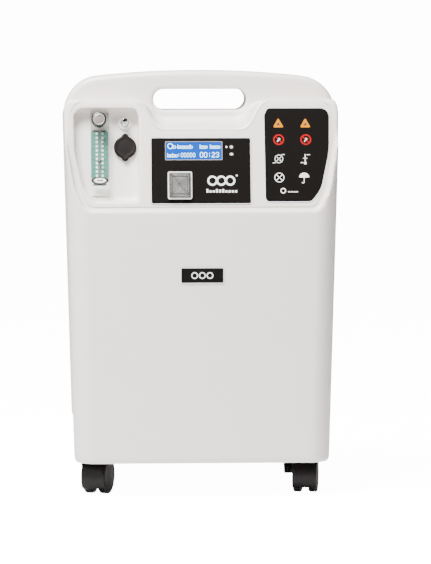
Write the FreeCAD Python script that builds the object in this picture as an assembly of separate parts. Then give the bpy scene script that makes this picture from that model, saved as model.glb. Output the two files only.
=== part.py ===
import FreeCAD, Part
import math
import os

V = FreeCAD.Vector

# Floor-standing oxygen concentrator. Millimetres, +Z up, front faces -Y,
# origin on the floor under the middle of the cabinet.

# ---- cabinet ----
WIDTH_SHOULDER = 347.6      # widest, at the shoulders
WIDTH_FOOT = 323.8          # at the skirt
HEIGHT = 538.0
DEPTH = 260.0
SKIRT_Z = 40.5              # lower edge of both shells
WALL = 2.8
SPLIT_Y = -20.0             # plane where the front and rear shells meet
SHOULDER_Z = 479.0          # centre height of the shoulder arcs
SHOULDER_R = 43.0
CROWN_R = 1225.0            # arch along the top of the handle
UPRIGHT_R = 28.0            # vertical corners, seen from above
SKIRT_R = 10.0

# ---- console: leaning upper front face ----
CONSOLE_FOOT = V(0, -122.0, 366.0)
CONSOLE_LEAN = 15.0         # degrees back from upright
STEP_Z = 363.5              # top edge of the lower front face
STEP_HALF = 147.0           # half length of the step's level run
STEP_BEND = (160.5, 27.0)   # x and rise of the bend beside the console
STEP_END = (173.2, 100.0)   # x and rise where the step runs out at the side

# ---- handle ----
HANDLE_FRONT_Y = -45.0
HANDLE_REAR_Y = 22.0
HANDLE_FRONT_R = 5.0
HANDLE_REAR_R = 8.0
LEDGE_Z = 467.4             # ledge below the hand-hole
BROW_Z = 504.0              # top edge of the console beside the handle
LEDGE_RISE = 8.6            # how far the ledge climbs towards the handle
RIM_Y = -90.0               # depth at which the ledge is at its stated height
GRIP_LENGTH = 119.0
GRIP_HEIGHT = 26.5
GRIP_Z = 501.0
REAR_NECK_Z = 474.0         # where the rear slope meets the handle
REAR_FALL = 0.32            # fall of the rear slope per millimetre behind the handle

# ---- running gear ----
STEM_X = 133.0
STEM_Y = 86.0
WHEEL_R = 23.0
WHEEL_TRAIL = 5.0
PAN_Z = 60.0                # underside of the base pan
PAN_T = 3.0


def turned(shape, degrees, pivot=V(0, 0, 0), axis=V(0, 0, 1)):
    copy = shape.copy()
    copy.rotate(pivot, axis, degrees)
    return copy


def moved(shape, x=0, y=0, z=0):
    copy = shape.copy()
    copy.translate(V(x, y, z))
    return copy


def box(low, high):
    size = V(*high) - V(*low)
    return Part.makeBox(size.x, size.y, size.z, V(*low))


def rod(radius, start, end):
    run = V(*end) - V(*start)
    return Part.makeCylinder(radius, run.Length, V(*start), run)


def cut_each(shape, tools):
    for tool in tools:
        shape = shape.cut(tool)
    return shape


def fuse(shapes):
    return shapes[0].fuse(list(shapes[1:])).removeSplitter()


def xz(y):
    """Places outline points on the plane across the cabinet at depth y."""
    return lambda a, b: V(a, y, b)


def yz(x):
    return lambda a, b: V(x, a, b)


def xy(z):
    return lambda a, b: V(a, b, z)


def on_console(lift=0.0):
    """Places outline points (x, height) on the console face, lifted off it."""
    lean = math.radians(CONSOLE_LEAN)

    def place(a, b):
        run = (b - CONSOLE_FOOT.z) / math.cos(lean)
        up = V(0, math.sin(lean), math.cos(lean))
        out = V(0, -math.cos(lean), math.sin(lean))
        return V(a, CONSOLE_FOOT.y, CONSOLE_FOOT.z) + up * run + out * lift
    return place


def console_out():
    lean = math.radians(CONSOLE_LEAN)
    return V(0, -math.cos(lean), math.sin(lean))


def outline(corners, place):
    """Closed wire through corners (a, b, radius), each rounded by its radius."""
    edges = []
    ends = []
    count = len(corners)
    for index, (a, b, radius) in enumerate(corners):
        here = V(a, b, 0)
        before = V(*corners[index - 1][:2], 0) - here
        after = V(*corners[(index + 1) % count][:2], 0) - here
        before.normalize()
        after.normalize()
        if radius == 0:
            ends.append((here, here, None))
            continue
        half = before.getAngle(after) / 2
        run = radius / math.tan(half)
        middle = before + after
        middle.normalize()
        bulge = here + middle * (radius / math.sin(half) - radius)
        ends.append((here + before * run, here + after * run, bulge))
    for index in range(count):
        start, end, bulge = ends[index]
        if bulge is not None:
            edges.append(Part.Arc(*(place(p.x, p.y) for p in (start, bulge, end))).toShape())
        following = ends[(index + 1) % count][0]
        if (following - end).Length > 1e-6:
            edges.append(Part.makeLine(place(end.x, end.y), place(following.x, following.y)))
    return Part.Wire(edges)


def slab(corners, place, thickness_vector):
    return Part.Face(outline(corners, place)).extrude(thickness_vector)


def fillet(shape, radius, wanted):
    edges = [e for e in shape.Edges if wanted(e)]
    return shape.makeFillet(radius, edges)


def side_half_width(z):
    slope = (WIDTH_SHOULDER - WIDTH_FOOT) / 2 / (SHOULDER_Z - SKIRT_Z)
    return WIDTH_FOOT / 2 + slope * (z - SKIRT_Z)


def front_outline(inset, bottom, y):
    """Silhouette seen from the front: tapering sides, shoulder arcs and an arched top."""
    lean = math.atan2((WIDTH_SHOULDER - WIDTH_FOOT) / 2, SHOULDER_Z - SKIRT_Z)
    shoulder = SHOULDER_R - inset
    crown = CROWN_R - inset
    crown_z = HEIGHT - CROWN_R
    cx = side_half_width(SHOULDER_Z) - SHOULDER_R / math.cos(lean)
    cz = crown_z + math.sqrt((CROWN_R - SHOULDER_R) ** 2 - cx ** 2)
    side = V(cx + shoulder * math.cos(lean), y, cz - shoulder * math.sin(lean))
    top_angle = math.atan2(cz - crown_z, cx)
    top = V(cx + shoulder * math.cos(top_angle), y, cz + shoulder * math.sin(top_angle))
    mid_angle = (top_angle - lean) / 2
    mid = V(cx + shoulder * math.cos(mid_angle), y, cz + shoulder * math.sin(mid_angle))
    foot = V(side.x - (side.z - bottom) * math.tan(lean), y, bottom)

    def mirror(p):
        return V(-p.x, p.y, p.z)
    return Part.Wire([
        Part.makeLine(mirror(foot), foot),
        Part.makeLine(foot, side),
        Part.Arc(side, mid, top).toShape(),
        Part.Arc(top, V(0, y, crown_z + crown), mirror(top)).toShape(),
        Part.Arc(mirror(top), mirror(mid), mirror(side)).toShape(),
        Part.makeLine(mirror(side), mirror(foot)),
    ])


def upright_body(inset):
    """Tapering body with rounded uprights, before the top is shaped."""
    front = -DEPTH / 2 + inset
    depth = DEPTH - 2 * inset
    prism = Part.Face(front_outline(inset, -60.0, front)).extrude(V(0, depth, 0))

    def upright(edge):
        flat = edge.BoundBox.YLength < 0.01
        return flat and abs(abs(edge.BoundBox.YMin) - depth / 2) < 0.01 and edge.BoundBox.ZMax > 0
    return fillet(prism, UPRIGHT_R - inset, upright)


def step_tool(inset):
    """Everything in front of the console face and above the step."""
    foot = STEP_Z - inset
    bend_x, bend_rise = STEP_BEND
    end_x, end_rise = STEP_END
    right = [(STEP_HALF, foot, 12), (bend_x - inset, foot + bend_rise, 70),
             (end_x - inset, foot + end_rise, 80), (240, foot + 2.6 * end_rise, 0)]
    left = [(-x, z, radius) for x, z, radius in reversed(right)]
    corners = left + right + [(240, 640, 0), (-240, 640, 0)]
    prism = slab(corners, xz(-DEPTH), V(0, 2 * DEPTH, 0))
    place = on_console(-inset)
    foot_y = place(0, 200).y
    top_y = place(0, 640).y
    ahead = slab([(foot_y, 200, 0), (-400, 200, 0), (-400, 640, 0), (top_y, 640, 0)], yz(-300), V(600, 0, 0))
    return prism.common(ahead)


def handle_tool(inset):
    """Space in front of the handle, its floor sweeping down under the hand-hole."""
    corners = [
        (-240, BROW_Z - inset, 0), (-76, BROW_Z - inset, 20), (-55.5, LEDGE_Z - inset, 22),
        (55.5, LEDGE_Z - inset, 22), (76, BROW_Z - inset, 20), (240, BROW_Z - inset, 0),
        (240, 640, 0), (-240, 640, 0),
    ]
    floor_slope = LEDGE_RISE / (HANDLE_FRONT_Y - RIM_Y)
    back = HANDLE_FRONT_Y + inset
    reach = back + DEPTH
    drop = floor_slope * (RIM_Y + DEPTH)
    lowered = [(a, b - drop, radius) for a, b, radius in corners]
    return Part.Face(outline(lowered, xz(-DEPTH))).extrude(V(0, reach, floor_slope * reach))


def rear_tool(inset):
    """Space behind the handle, over the rear slope."""
    rear = HANDLE_REAR_Y - inset
    neck = REAR_NECK_Z - inset
    foot = neck - REAR_FALL * (DEPTH - rear)
    corners = [(rear, 700, 0), (rear, neck, 14), (DEPTH, foot, 0), (DEPTH, 700, 0)]
    return slab(corners, yz(-300), V(600, 0, 0))


def grip_hole(grow):
    radius = GRIP_HEIGHT / 2 + grow
    half = GRIP_LENGTH / 2 + grow
    corners = [(-half, GRIP_Z - radius, radius - 0.01), (half, GRIP_Z - radius, radius - 0.01),
               (half, GRIP_Z + radius, radius - 0.01), (-half, GRIP_Z + radius, radius - 0.01)]
    return slab(corners, xz(-DEPTH), V(0, 2 * DEPTH, 0))


# ---- left recess and right label share one outline, mirrored ----
WING = [(80.0, 374.5, 6), (136.5, 374.5, 8), (149.5, 390, 40), (160.5, 436, 90),
        (161.5, 490.5, 12), (84.0, 490.5, 6), (79.5, 481, 6)]
RECESS_SHELF = 15.0         # floor depth under the flow meter
RECESS_DEPTH = 19.0         # floor depth under the outlet
RECESS_SPLIT_X = -114.0
LABEL_GROW = 1.2            # the label is this much larger than the recess all round

# ---- display and switch on the console: x range, height range ----
PANEL = (-65.0, 62.0, 371.0, 454.4)
PANEL_T = 2.0
PANEL_SINK = 1.2
LCD = (-46.5, 25.7, 426.0, 449.3)
SWITCH = (-43.3, -13.2, 377.3, 411.0)
ROCKER = (-37.7, -18.8, 382.6, 405.7)
ROCKER_TILT = 9.0
ROCKER_PIN_R = 0.8
LEDS = [(31.0, 442.2), (37.2, 442.2), (37.2, 433.5)]
LED_R = 1.3

# ---- flow meter ----
METER = (-140.8, -116.6, 383.5, 489.0)
METER_FRONT = -2.0          # lift of its front face
KNOB = (-129.8, 476.2)
KNOB_R = 9.6
TUBE_X = -128.7
TUBE_R = 3.2
TUBE_Z = (407.5, 464.8)
METER_STUB = (-128.7, 396.5)
STUB_END = -30.0
BALL_R = 2.6
BALL_Z = 426.0

BADGE = (-28.0, 26.4, 272.0, 292.0)

# ---- outlet and blanked port ----
OUTLET = (-96.8, 476.6)
NOZZLE_R = 3.1
NOZZLE_BORE_R = 1.7
NOZZLE_TIP = -1.5           # lift of the free end
PORT = (-96.5, 445.6)
PORT_R = 14.5
EAR_R = 5.2
EAR_OUT = 12.6              # from the middle of the cap to the middle of each ear

# ---- rear ----
DOOR = (-75.0, 75.0, 285.0, 385.0)
VENT = (-60.0, 60.0, 96.0, 136.0)
INLET = (-128.0, -100.0, 100.0, 120.0)
INLET_FLANGE_T = 2.0
PROUD = 0.85                # how far the badge and the inlet flange stand off the faces
SHELL_SCREWS = [(146.0, 92.0), (152.0, 330.0), (112.0, 508.0)]
BOSS_R = 6.0
SCREW_R = 2.0
SCREW_SEAT = 8.0            # seat of the screw heads, behind the split
SCREW_HEAD_R = 4.0
SCREW_GRIP = 14.0           # how far the screws reach ahead of the split


def rect(bounds, radius, grow=0.0):
    x0, x1, z0, z1 = bounds
    r = max(radius + grow, 0.5)
    places = [(x0 - grow, z0 - grow), (x1 + grow, z0 - grow), (x1 + grow, z1 + grow), (x0 - grow, z1 + grow)]
    return [(x, z, r) for x, z in places]


def plate(corners, back, front):
    """Slab on the console between two lifts off its face."""
    return slab(corners, on_console(back), console_out() * (front - back))


def console_rod(centre, radius, back, front):
    return rod(radius, on_console(back)(*centre), on_console(front)(*centre))


def wing(side, grow=0.0):
    """Outline of the recess or the label, grown about its middle."""
    corners = []
    for x, z, radius in WING:
        across = grow if x > 120 else -grow
        upward = grow if z > 430 else -grow
        corners.append((side * (x + across), z + upward, radius))
    return corners


def recess_tool(grow):
    """Hollow around the flow meter and the outlet, with the deeper floor on the outlet's side."""
    shelf = plate(wing(-1, grow), -RECESS_SHELF - grow, 6)
    deep = plate(wing(-1, grow), -RECESS_DEPTH - grow, 6)
    side = box((RECESS_SPLIT_X - grow, -300, 300), (0, 300, 600))
    return shelf.fuse(deep.common(side))


def crown_edge(depth):
    """Test for the edges along the top of the handle at one depth."""
    def test(edge):
        b = edge.BoundBox
        return b.YLength < 0.01 and abs(b.YMin - depth) < 0.01 and b.ZMax > BROW_Z + LEDGE_RISE + 1
    return test


def solid_cabinet(inset):
    """Cabinet volume: outside at inset 0, cavity at inset WALL."""
    body = upright_body(inset)
    floor = SKIRT_Z if inset == 0 else -40
    body = body.cut(box((-300, -300, -100), (300, 300, floor)))
    if inset == 0:
        body = fillet(body, SKIRT_R, lambda e: abs(e.BoundBox.ZMax - SKIRT_Z) < 0.01)
    body = body.cut(step_tool(inset)).cut(handle_tool(inset)).cut(rear_tool(inset))
    if inset == 0:
        for depth, radius in ((HANDLE_FRONT_Y, HANDLE_FRONT_R), (HANDLE_REAR_Y, HANDLE_REAR_R)):
            body = fillet(body, radius, crown_edge(depth))
    return body


def boss_places():
    return [(side * x, z) for x, z in SHELL_SCREWS for side in (-1, 1)]


def hollow_cabinet():
    outer = solid_cabinet(0)
    cavity = solid_cabinet(WALL).cut(grip_hole(WALL)).cut(recess_tool(WALL))
    shell = outer.cut(cavity).cut(grip_hole(0)).cut(recess_tool(0))
    bosses = [rod(BOSS_R, (x, -DEPTH / 2, z), (x, DEPTH / 2, z)) for x, z in boss_places()]
    within = Part.makeCompound(bosses).common(outer)
    return shell.fuse(within.Solids)


def shells():
    """Front and rear mouldings with their openings."""
    cabinet = hollow_cabinet()
    front = cabinet.common(box((-300, -300, -100), (300, SPLIT_Y, 700)))
    rear = cabinet.common(box((-300, SPLIT_Y, -100), (300, 300, 700)))
    front_cuts = [
        plate(rect(PANEL, 3, 0.3), -PANEL_SINK, 6),
        plate(rect(LCD, 1, 0.5), -8, 6),
        plate(rect(SWITCH, 1, -2.0), -8, 6),
        console_rod(KNOB, 3, -30, 0),
        console_rod(METER_STUB, 4.4, -30, 0),
        console_rod(OUTLET, 5.2, -30, 0),
        console_rod(PORT, 10.2, -30, 0),
    ]
    front_cuts += [console_rod(place, LED_R + 0.3, -8, 6) for place in LEDS]
    for x, z in boss_places():
        blind_end = -60 if z < 500 else -38
        front_cuts.append(rod(SCREW_R + FIXED_GAP, (x, blind_end, z), (x, SPLIT_Y + 1, z)))
    rear_cuts = [
        slab(rect(DOOR, 4, 0.4), xz(126.6), V(0, 10, 0)),
        slab(rect(DOOR, 3, -6), xz(110), V(0, 30, 0)),
        slab(rect(VENT, 3, 0.3), xz(110), V(0, 30, 0)),
        slab(rect(INLET, 2, 0.2), xz(110), V(0, 30, 0)),
        slab(rect(INLET, 3, 4.3), xz(DEPTH / 2 + PROUD - INLET_FLANGE_T - 0.05), V(0, 10, 0)),
    ]
    for x, z in boss_places():
        back = HANDLE_REAR_Y if z > 500 else DEPTH / 2
        rear_cuts.append(rod(SCREW_R + 0.3, (x, SPLIT_Y - 1, z), (x, back + 1, z)))
        rear_cuts.append(rod(SCREW_HEAD_R + 0.4, (x, SPLIT_Y + SCREW_SEAT, z), (x, back + 1, z)))
    return cut_each(front, front_cuts), cut_each(rear, rear_cuts)


def screws():
    """Long-reach screws that hold the shells together, seated in their counterbores."""
    made = []
    for x, z in boss_places():
        seat = SPLIT_Y + SCREW_SEAT
        head = rod(SCREW_HEAD_R, (x, seat, z), (x, seat + 3, z))
        socket = rod(1.3, (x, seat + 1.4, z), (x, seat + 4, z))
        shank = rod(SCREW_R, (x, SPLIT_Y - SCREW_GRIP, z), (x, seat, z))
        made.append(head.fuse(shank).cut(socket))
    return Part.makeCompound(made)


# ---------------------------------------------------------------- console parts

def fascia():
    blank = plate(rect(PANEL, 3), -PANEL_SINK + 0.1, PANEL_T - PANEL_SINK)
    tools = [plate(rect(LCD, 1), -5, 5), plate(rect(SWITCH, 2, -1.8), -5, 5)]
    tools += [console_rod(place, LED_R + 0.1, -5, 5) for place in LEDS]
    return cut_each(blank, tools)


def lcd_module():
    glass = plate(rect(LCD, 1, -0.2), -4.2, 0.3)
    frame = plate(rect(LCD, 1, 1.4), -9.5, -3.2)
    return glass.fuse(frame)


def display_board():
    board = plate(rect(PANEL, 2, -4), -12.5, -11)
    return board.cut(plate(rect(SWITCH, 2, 2), -20, 0))


def indicator_leds():
    lamps = [console_rod(place, LED_R, -10.9, PANEL_T - PANEL_SINK + 0.2) for place in LEDS]
    return Part.makeCompound(lamps)


def rocker_centre():
    x0, x1, z0, z1 = ROCKER
    return on_console(0.5)((x0 + x1) / 2, (z0 + z1) / 2)


def switch_body():
    bezel = plate(rect(SWITCH, 2), PANEL_T - PANEL_SINK, 3.2)
    throat = plate(rect(SWITCH, 1, -2.2), -20, 2.0)
    well = plate(rect(ROCKER, 1, 0.5), -13, 6)
    lugs = [console_rod((x, 394.3), 2.2, -26, -18) for x in (-36, -28.3, -20.5)]
    return bezel.fuse([throat] + lugs).cut(well).cut(rocker_pin(RUNNING_GAP))


def rocker_pin(gap):
    """Pivot through the rocker, ending in the sides of the switch body."""
    half = V((ROCKER[1] - ROCKER[0]) / 2 + 1.5 + gap, 0, 0)
    return rod(ROCKER_PIN_R + gap, rocker_centre() - half, rocker_centre() + half)


def rocker_frame():
    """Directions up and out of the rocker before its tilt."""
    lean = math.radians(CONSOLE_LEAN)
    up = V(0, math.sin(lean), math.cos(lean))
    return up, console_out()


def switch_rocker():
    """V-topped rocker, shown pressed at its lower end."""
    x0, x1, z0, z1 = ROCKER
    centre = rocker_centre()
    up, out = rocker_frame()
    half = (z1 - z0) / 2 - 0.6

    def place(a, b):
        return centre + V(x0 - centre.x + 0.2, 0, 0) + up * a + out * b
    corners = [(-half + 3, -7, 1), (half - 3, -7, 1), (half, 3.6, 1.0), (0, 0.9, 12), (-half, 3.6, 1.0)]
    body = slab(corners, place, V(x1 - x0 - 0.4, 0, 0))
    return turned(body, ROCKER_TILT, centre, V(1, 0, 0)).fuse(rocker_pin(0))


def switch_cover():
    """Clear splash cover clipped over the rocker."""
    lid = plate(rect(SWITCH, 2, -1.0), 3.3, 11.5)
    hollow = plate(rect(SWITCH, 1.5, -2.0), 3.0, 10.5)
    return lid.cut(hollow)


def symbol_label():
    return plate(wing(1, LABEL_GROW), 0.05, 0.6)


def badge():
    return slab(rect(BADGE, 2), xz(-DEPTH / 2 - 0.05), V(0, 0.05 - PROUD, 0))


# ---------------------------------------------------------------- flow meter

def meter_body():
    """Clear block with the float tube, the valve seat and a hose stub at the back."""
    block = plate(rect(METER, 1), -RECESS_SHELF + 1.2, METER_FRONT)
    stub = console_rod(METER_STUB, 4.0, STUB_END, -RECESS_SHELF + 2)
    bore = rod(TUBE_R, on_console(-8)(TUBE_X, TUBE_Z[0]), on_console(-8)(TUBE_X, TUBE_Z[1]))
    return cut_each(block.fuse(stub), [bore, console_rod(KNOB, 3.2, -20, 6)])


def meter_scale():
    x0, x1, _, _ = METER
    return plate(rect((x0 + 1, x1 - 1, TUBE_Z[0], TUBE_Z[1]), 0.5), -RECESS_SHELF + 0.1, -RECESS_SHELF + 1.1)


def float_ball():
    return Part.makeSphere(BALL_R, on_console(-8)(TUBE_X, BALL_Z))


def flow_knob():
    """Fluted knob on the needle-valve stem."""
    grip = console_rod(KNOB, KNOB_R, METER_FRONT + 0.4, METER_FRONT + 9)
    stem = console_rod(KNOB, 2.6, -RECESS_SHELF - 6, METER_FRONT + 1)
    flutes = []
    for index in range(18):
        angle = index * 2 * math.pi / 18
        place = (KNOB[0] + (KNOB_R + 0.5) * math.cos(angle), KNOB[1] + (KNOB_R + 0.5) * math.sin(angle))
        flutes.append(console_rod(place, 0.9, METER_FRONT, METER_FRONT + 7))
    return grip.cut(Part.makeCompound(flutes)).fuse(stem)


# ---------------------------------------------------------------- outlet and port

def outlet_bezel():
    ring = console_rod(OUTLET, 8.5, -RECESS_DEPTH + 0.1, -RECESS_DEPTH + 3)
    return ring.cut(console_rod(OUTLET, 5.1, -30, 0))


def outlet_nozzle():
    """Smooth push-on hose nozzle with a shoulder, passed through the recess floor."""
    stem = console_rod(OUTLET, 5.0, -34, -RECESS_DEPTH + 4)
    tube = console_rod(OUTLET, NOZZLE_R, -RECESS_DEPTH + 4, NOZZLE_TIP)
    return stem.fuse(tube).cut(console_rod(OUTLET, NOZZLE_BORE_R, -40, 0))


def port_cap():
    """Pull-off rubber cap with two finger ears and a spigot in the port."""
    back, front = -RECESS_DEPTH + 0.3, -RECESS_DEPTH + 6
    face = console_rod(PORT, PORT_R, back, front)
    ears = [console_rod((PORT[0], PORT[1] + dz), EAR_R, back, front) for dz in (-EAR_OUT, EAR_OUT)]
    spigot = console_rod(PORT, 9.0, -RECESS_DEPTH - 9, -RECESS_DEPTH + 1)
    return face.fuse(ears + [spigot])


# ---------------------------------------------------------------- rear fittings

def filter_door():
    """Louvred door over the intake foam, pulled straight off to the rear."""
    x0, x1, z0, z1 = DOOR
    panel = slab(rect(DOOR, 4), xz(126.9), V(0, 3.1, 0))
    slots = [slab([(x0 + 12, z, 1.5), (x1 - 12, z, 1.5), (x1 - 12, z + 4, 1.5), (x0 + 12, z + 4, 1.5)],
                  xz(120), V(0, 20, 0)) for z in range(int(z0) + 12, int(z1) - 12, 9)]
    return cut_each(panel, slots)


def filter_foam():
    x0, x1, z0, z1 = DOOR
    return box((x0 + 8, 114, z0 + 8), (x1 - 8, 125.5, z1 - 8))


def vent_grille():
    x0, x1, z0, z1 = VENT
    panel = slab(rect(VENT, 3), xz(126.8), V(0, 3.2, 0))
    flange = slab(rect(VENT, 3, 4), xz(124.6), V(0, 2.3, 0))
    slots = [slab([(x, z0 + 5, 1.5), (x + 4, z0 + 5, 1.5), (x + 4, z1 - 5, 1.5), (x, z1 - 5, 1.5)],
                  xz(120), V(0, 20, 0)) for x in range(int(x0) + 6, int(x1) - 8, 8)]
    return cut_each(panel.fuse(flange), slots)


def power_inlet():
    body = slab(rect(INLET, 2), xz(108), V(0, 23, 0))
    flange = slab(rect(INLET, 3, 4), xz(DEPTH / 2 + PROUD - INLET_FLANGE_T), V(0, INLET_FLANGE_T, 0))
    socket = slab(rect(INLET, 2, -3), xz(114), V(0, 30, 0))
    return body.fuse(flange).cut(socket)


def inlet_pins():
    x0, x1, z0, _ = INLET
    middle = (x0 + x1) / 2
    spots = [(middle - 7, z0 + 8), (middle, z0 + 12), (middle + 7, z0 + 8)]
    return Part.makeCompound([box((x - 1, 114.1, z - 2), (x + 1, 122, z + 2)) for x, z in spots])


# ---------------------------------------------------------------- base and casters

def base_pan():
    """Moulded pan that closes the shells and carries the casters."""
    half = side_half_width(PAN_Z) - WALL - 0.5
    depth = DEPTH / 2 - WALL - 0.5
    corners = [(-half, -depth, 24), (half, -depth, 24), (half, depth, 24), (-half, depth, 24)]
    pan = slab(corners, xy(PAN_Z), V(0, 0, PAN_T))
    places = stem_places().values()
    bosses = [rod(9, (x, y, PAN_Z - 4), (x, y, PAN_Z + 22)) for x, y in places]
    bores = [rod(STEM_R + RUNNING_GAP, (x, y, PAN_Z - 10), (x, y, PAN_Z + 20)) for x, y in places]
    return cut_each(pan.fuse(bosses), bores)


def stem_places():
    return {"front_left": (-STEM_X, -STEM_Y), "front_right": (STEM_X, -STEM_Y),
            "rear_left": (-STEM_X, STEM_Y), "rear_right": (STEM_X, STEM_Y)}


CASTER_YAW = {"front_left": -18.0, "front_right": -9.0, "rear_left": -12.0, "rear_right": -4.0}
WHEEL_T = 12.0
WEB_T = 7.0
WHEEL_GAP = 0.5
HOOD_R = WHEEL_R + 3.4
HOOD_FOOT_Z = 3.5
HOOD_TOP_Z = 54.0
TURNED_R = 25.4             # reach of the hood about its stem, where it swivels inside the skirt
STEM_FOOT_Z = 32.0
AXLE_R = 3.0
STEM_R = 4.0
RUNNING_GAP = 0.06          # radial, where one piece turns in another
FIXED_GAP = 0.03            # radial, where two pieces are held together


def caster(place, yaw):
    """Hood and stem, with two wheels fixed on one axle, trailing towards +Y before the yaw."""
    y, z = WHEEL_TRAIL, WHEEL_R
    inner = WEB_T / 2 + WHEEL_GAP
    reach = inner + WHEEL_T
    drum = rod(HOOD_R, (-reach, y, z), (reach, y, z))
    hollow = rod(WHEEL_R + 0.8, (-reach - 1, y, z), (reach + 1, y, z))
    open_back = slab([(y + 12, 80, 0), (y - 2, WHEEL_R - 8, 6), (-30, HOOD_FOOT_Z, 0), (-60, HOOD_FOOT_Z, 0),
                      (-60, -40, 0), (80, -40, 0), (80, 80, 0)], yz(-60), V(120, 0, 0))
    web = rod(WHEEL_R + 2, (-WEB_T / 2, y, z), (WEB_T / 2, y, z))
    web = web.cut(box((-60, -60, -10), (60, 60, 8)))
    crown = rod(7.5, (0, 0, 34), (0, 0, HOOD_TOP_Z))
    for sign in (-1, 1):
        crown = crown.cut(rod(WHEEL_R + 0.8, (sign * WEB_T / 2, y, z), (sign * 60, y, z)))
    hood = drum.cut(hollow).cut(open_back).fuse([web, crown])
    outside = box((-60, -60, SKIRT_Z - 1), (60, 60, 80)).cut(rod(TURNED_R, (0, 0, 0), (0, 0, 90)))
    hood = hood.cut(outside)
    stem_hole = rod(STEM_R + FIXED_GAP, (0, 0, STEM_FOOT_Z - FIXED_GAP), (0, 0, 60))
    axle_bore = rod(AXLE_R + RUNNING_GAP, (-40, y, z), (40, y, z))
    hood = cut_each(hood, [stem_hole, axle_bore])
    wheels = []
    for sign in (-1, 1):
        wheel = rod(WHEEL_R, (sign * inner, y, z), (sign * reach, y, z))
        wheel = fillet(wheel, 2.0, lambda e: e.Curve.TypeId == "Part::GeomCircle")
        dish = rod(WHEEL_R - 5, (sign * (reach - 1.2), y, z), (sign * (reach + 1), y, z))
        seat = rod(AXLE_R + FIXED_GAP, (0, y, z), (sign * (reach - 2.4), y, z))
        wheels.append(cut_each(wheel, [dish, seat]))
    pieces = {
        "hood": hood,
        "stem": rod(STEM_R, (0, 0, STEM_FOOT_Z), (0, 0, PAN_Z + 18)),
        "axle": rod(AXLE_R, (2.5 - reach, y, z), (reach - 2.5, y, z)),
        "wheels": Part.makeCompound(wheels),
    }
    return {key: moved(turned(shape, yaw), *place) for key, shape in pieces.items()}


# ---------------------------------------------------------------- inside the cabinet

FLOOR_Z = PAN_Z + PAN_T
BOX = ((-108.0, -52.0, FLOOR_Z + 0.1), (108.0, 104.0, 250.0))
BOX_T = 3.0
COMPRESSOR = (0.0, 26.0, 165.0)
TRAY_Z = 296.0
INTAKE_AT = (-136.0, 84.0)


def sound_box():
    low, high = BOX
    outer = box(low, high)
    inner_high = (high[0] - BOX_T, high[1] - BOX_T, high[2] - BOX_T)
    inner = box((low[0] + BOX_T, low[1] + BOX_T, low[2] - 1), inner_high)
    fan_hole = rod(54, (0, COMPRESSOR[1], high[2] - 10), (0, COMPRESSOR[1], high[2] + 10))
    return cut_each(outer, [inner, fan_hole])


def compressor():
    """Twin-head oil-free compressor: motor barrel between two crankcases on feet."""
    x, y, z = COMPRESSOR
    barrel = rod(46, (x - 45, y, z), (x + 45, y, z))
    fins = [rod(49, (x + dx, y, z), (x + dx + 2, y, z)) for dx in range(-36, 36, 8)]
    cases = [rod(34, (x + s * 45, y, z), (x + s * 82, y, z)) for s in (-1, 1)]
    cradle = box((x - 70, y - 40, z - 52), (x + 70, y + 40, z - 44))
    feet = [box((x + s * 52 - 6, y - 26, z - 48), (x + s * 52 + 6, y + 26, z - 22)) for s in (-1, 1)]
    return fuse([barrel] + fins + cases + [cradle] + feet)


def compressor_heads():
    """Finned cylinder heads on the crankcases."""
    x, y, z = COMPRESSOR
    heads = []
    for side in (-1, 1):
        middle = x + side * 64
        plates = []
        for level in range(5):
            foot = z + 33 + 6 * level
            plates.append(box((middle - 17, y - 24, foot), (middle + 17, y + 24, foot + 3.5)))
        core = box((middle - 13, y - 18, z + 34.3), (middle + 13, y + 18, z + 62))
        heads.append(fuse([core] + plates).cut(rod(34.2, (middle - 30, y, z), (middle + 30, y, z))))
    return Part.makeCompound(heads)


def compressor_springs():
    """Four isolating springs, each a stack of coils round a damper."""
    x, y, z = COMPRESSOR
    made = []
    for sx in (-1, 1):
        for sy in (-1, 1):
            base = V(x + sx * 60, y + sy * 30, FLOOR_Z + 0.1)
            core = Part.makeCylinder(6, z - 52 - base.z - 0.1, base)
            coils = [Part.makeTorus(7, 1.8, base + V(0, 0, 4 + 6.5 * k)) for k in range(7)]
            made.append(core.fuse(coils))
    return Part.makeCompound(made)


def fan_frame():
    low = (-60, COMPRESSOR[1] - 60, BOX[1][2] + 0.2)
    body = box(low, (60, COMPRESSOR[1] + 60, low[2] + 25))
    duct = rod(57, (0, COMPRESSOR[1], low[2] - 1), (0, COMPRESSOR[1], low[2] + 30))
    hub = rod(20, (0, COMPRESSOR[1], low[2]), (0, COMPRESSOR[1], low[2] + 4))
    arms = [turned(box((-58, COMPRESSOR[1] - 2, low[2]), (58, COMPRESSOR[1] + 2, low[2] + 3)), a,
                   V(0, COMPRESSOR[1], 0)) for a in (45, 135)]
    spindle = rod(2.0, (0, COMPRESSOR[1], low[2] + 3), (0, COMPRESSOR[1], low[2] + 20))
    return body.cut(duct).fuse([hub, spindle] + arms)


def fan_rotor():
    z = BOX[1][2] + 5
    y = COMPRESSOR[1]
    hub = rod(19, (0, y, z), (0, y, z + 17)).cut(rod(2.05, (0, y, z - 1), (0, y, z + 15.4)))
    blades = []
    for index in range(7):
        blade = box((16, y - 1.2, z + 1), (54, y + 1.2, z + 16))
        blade = turned(blade, 38, V(35, y, z + 8.5), V(1, 0, 0))
        blades.append(turned(blade, index * 360 / 7, V(0, y, 0)))
    return hub.fuse([blade.cut(rod(18, (0, y, z - 9), (0, y, z + 30))) for blade in blades])


def sieve_bed(x):
    """Molecular-sieve canister with end caps and ports."""
    y = -92.0
    tube = rod(26, (x, y, FLOOR_Z + 8), (x, y, 300))
    caps = [rod(29, (x, y, FLOOR_Z + 0.2), (x, y, FLOOR_Z + 14)), rod(29, (x, y, 292), (x, y, 306))]
    port = rod(5, (x, y, 306), (x, y, 318))
    return fuse([tube] + caps + [port])


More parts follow.
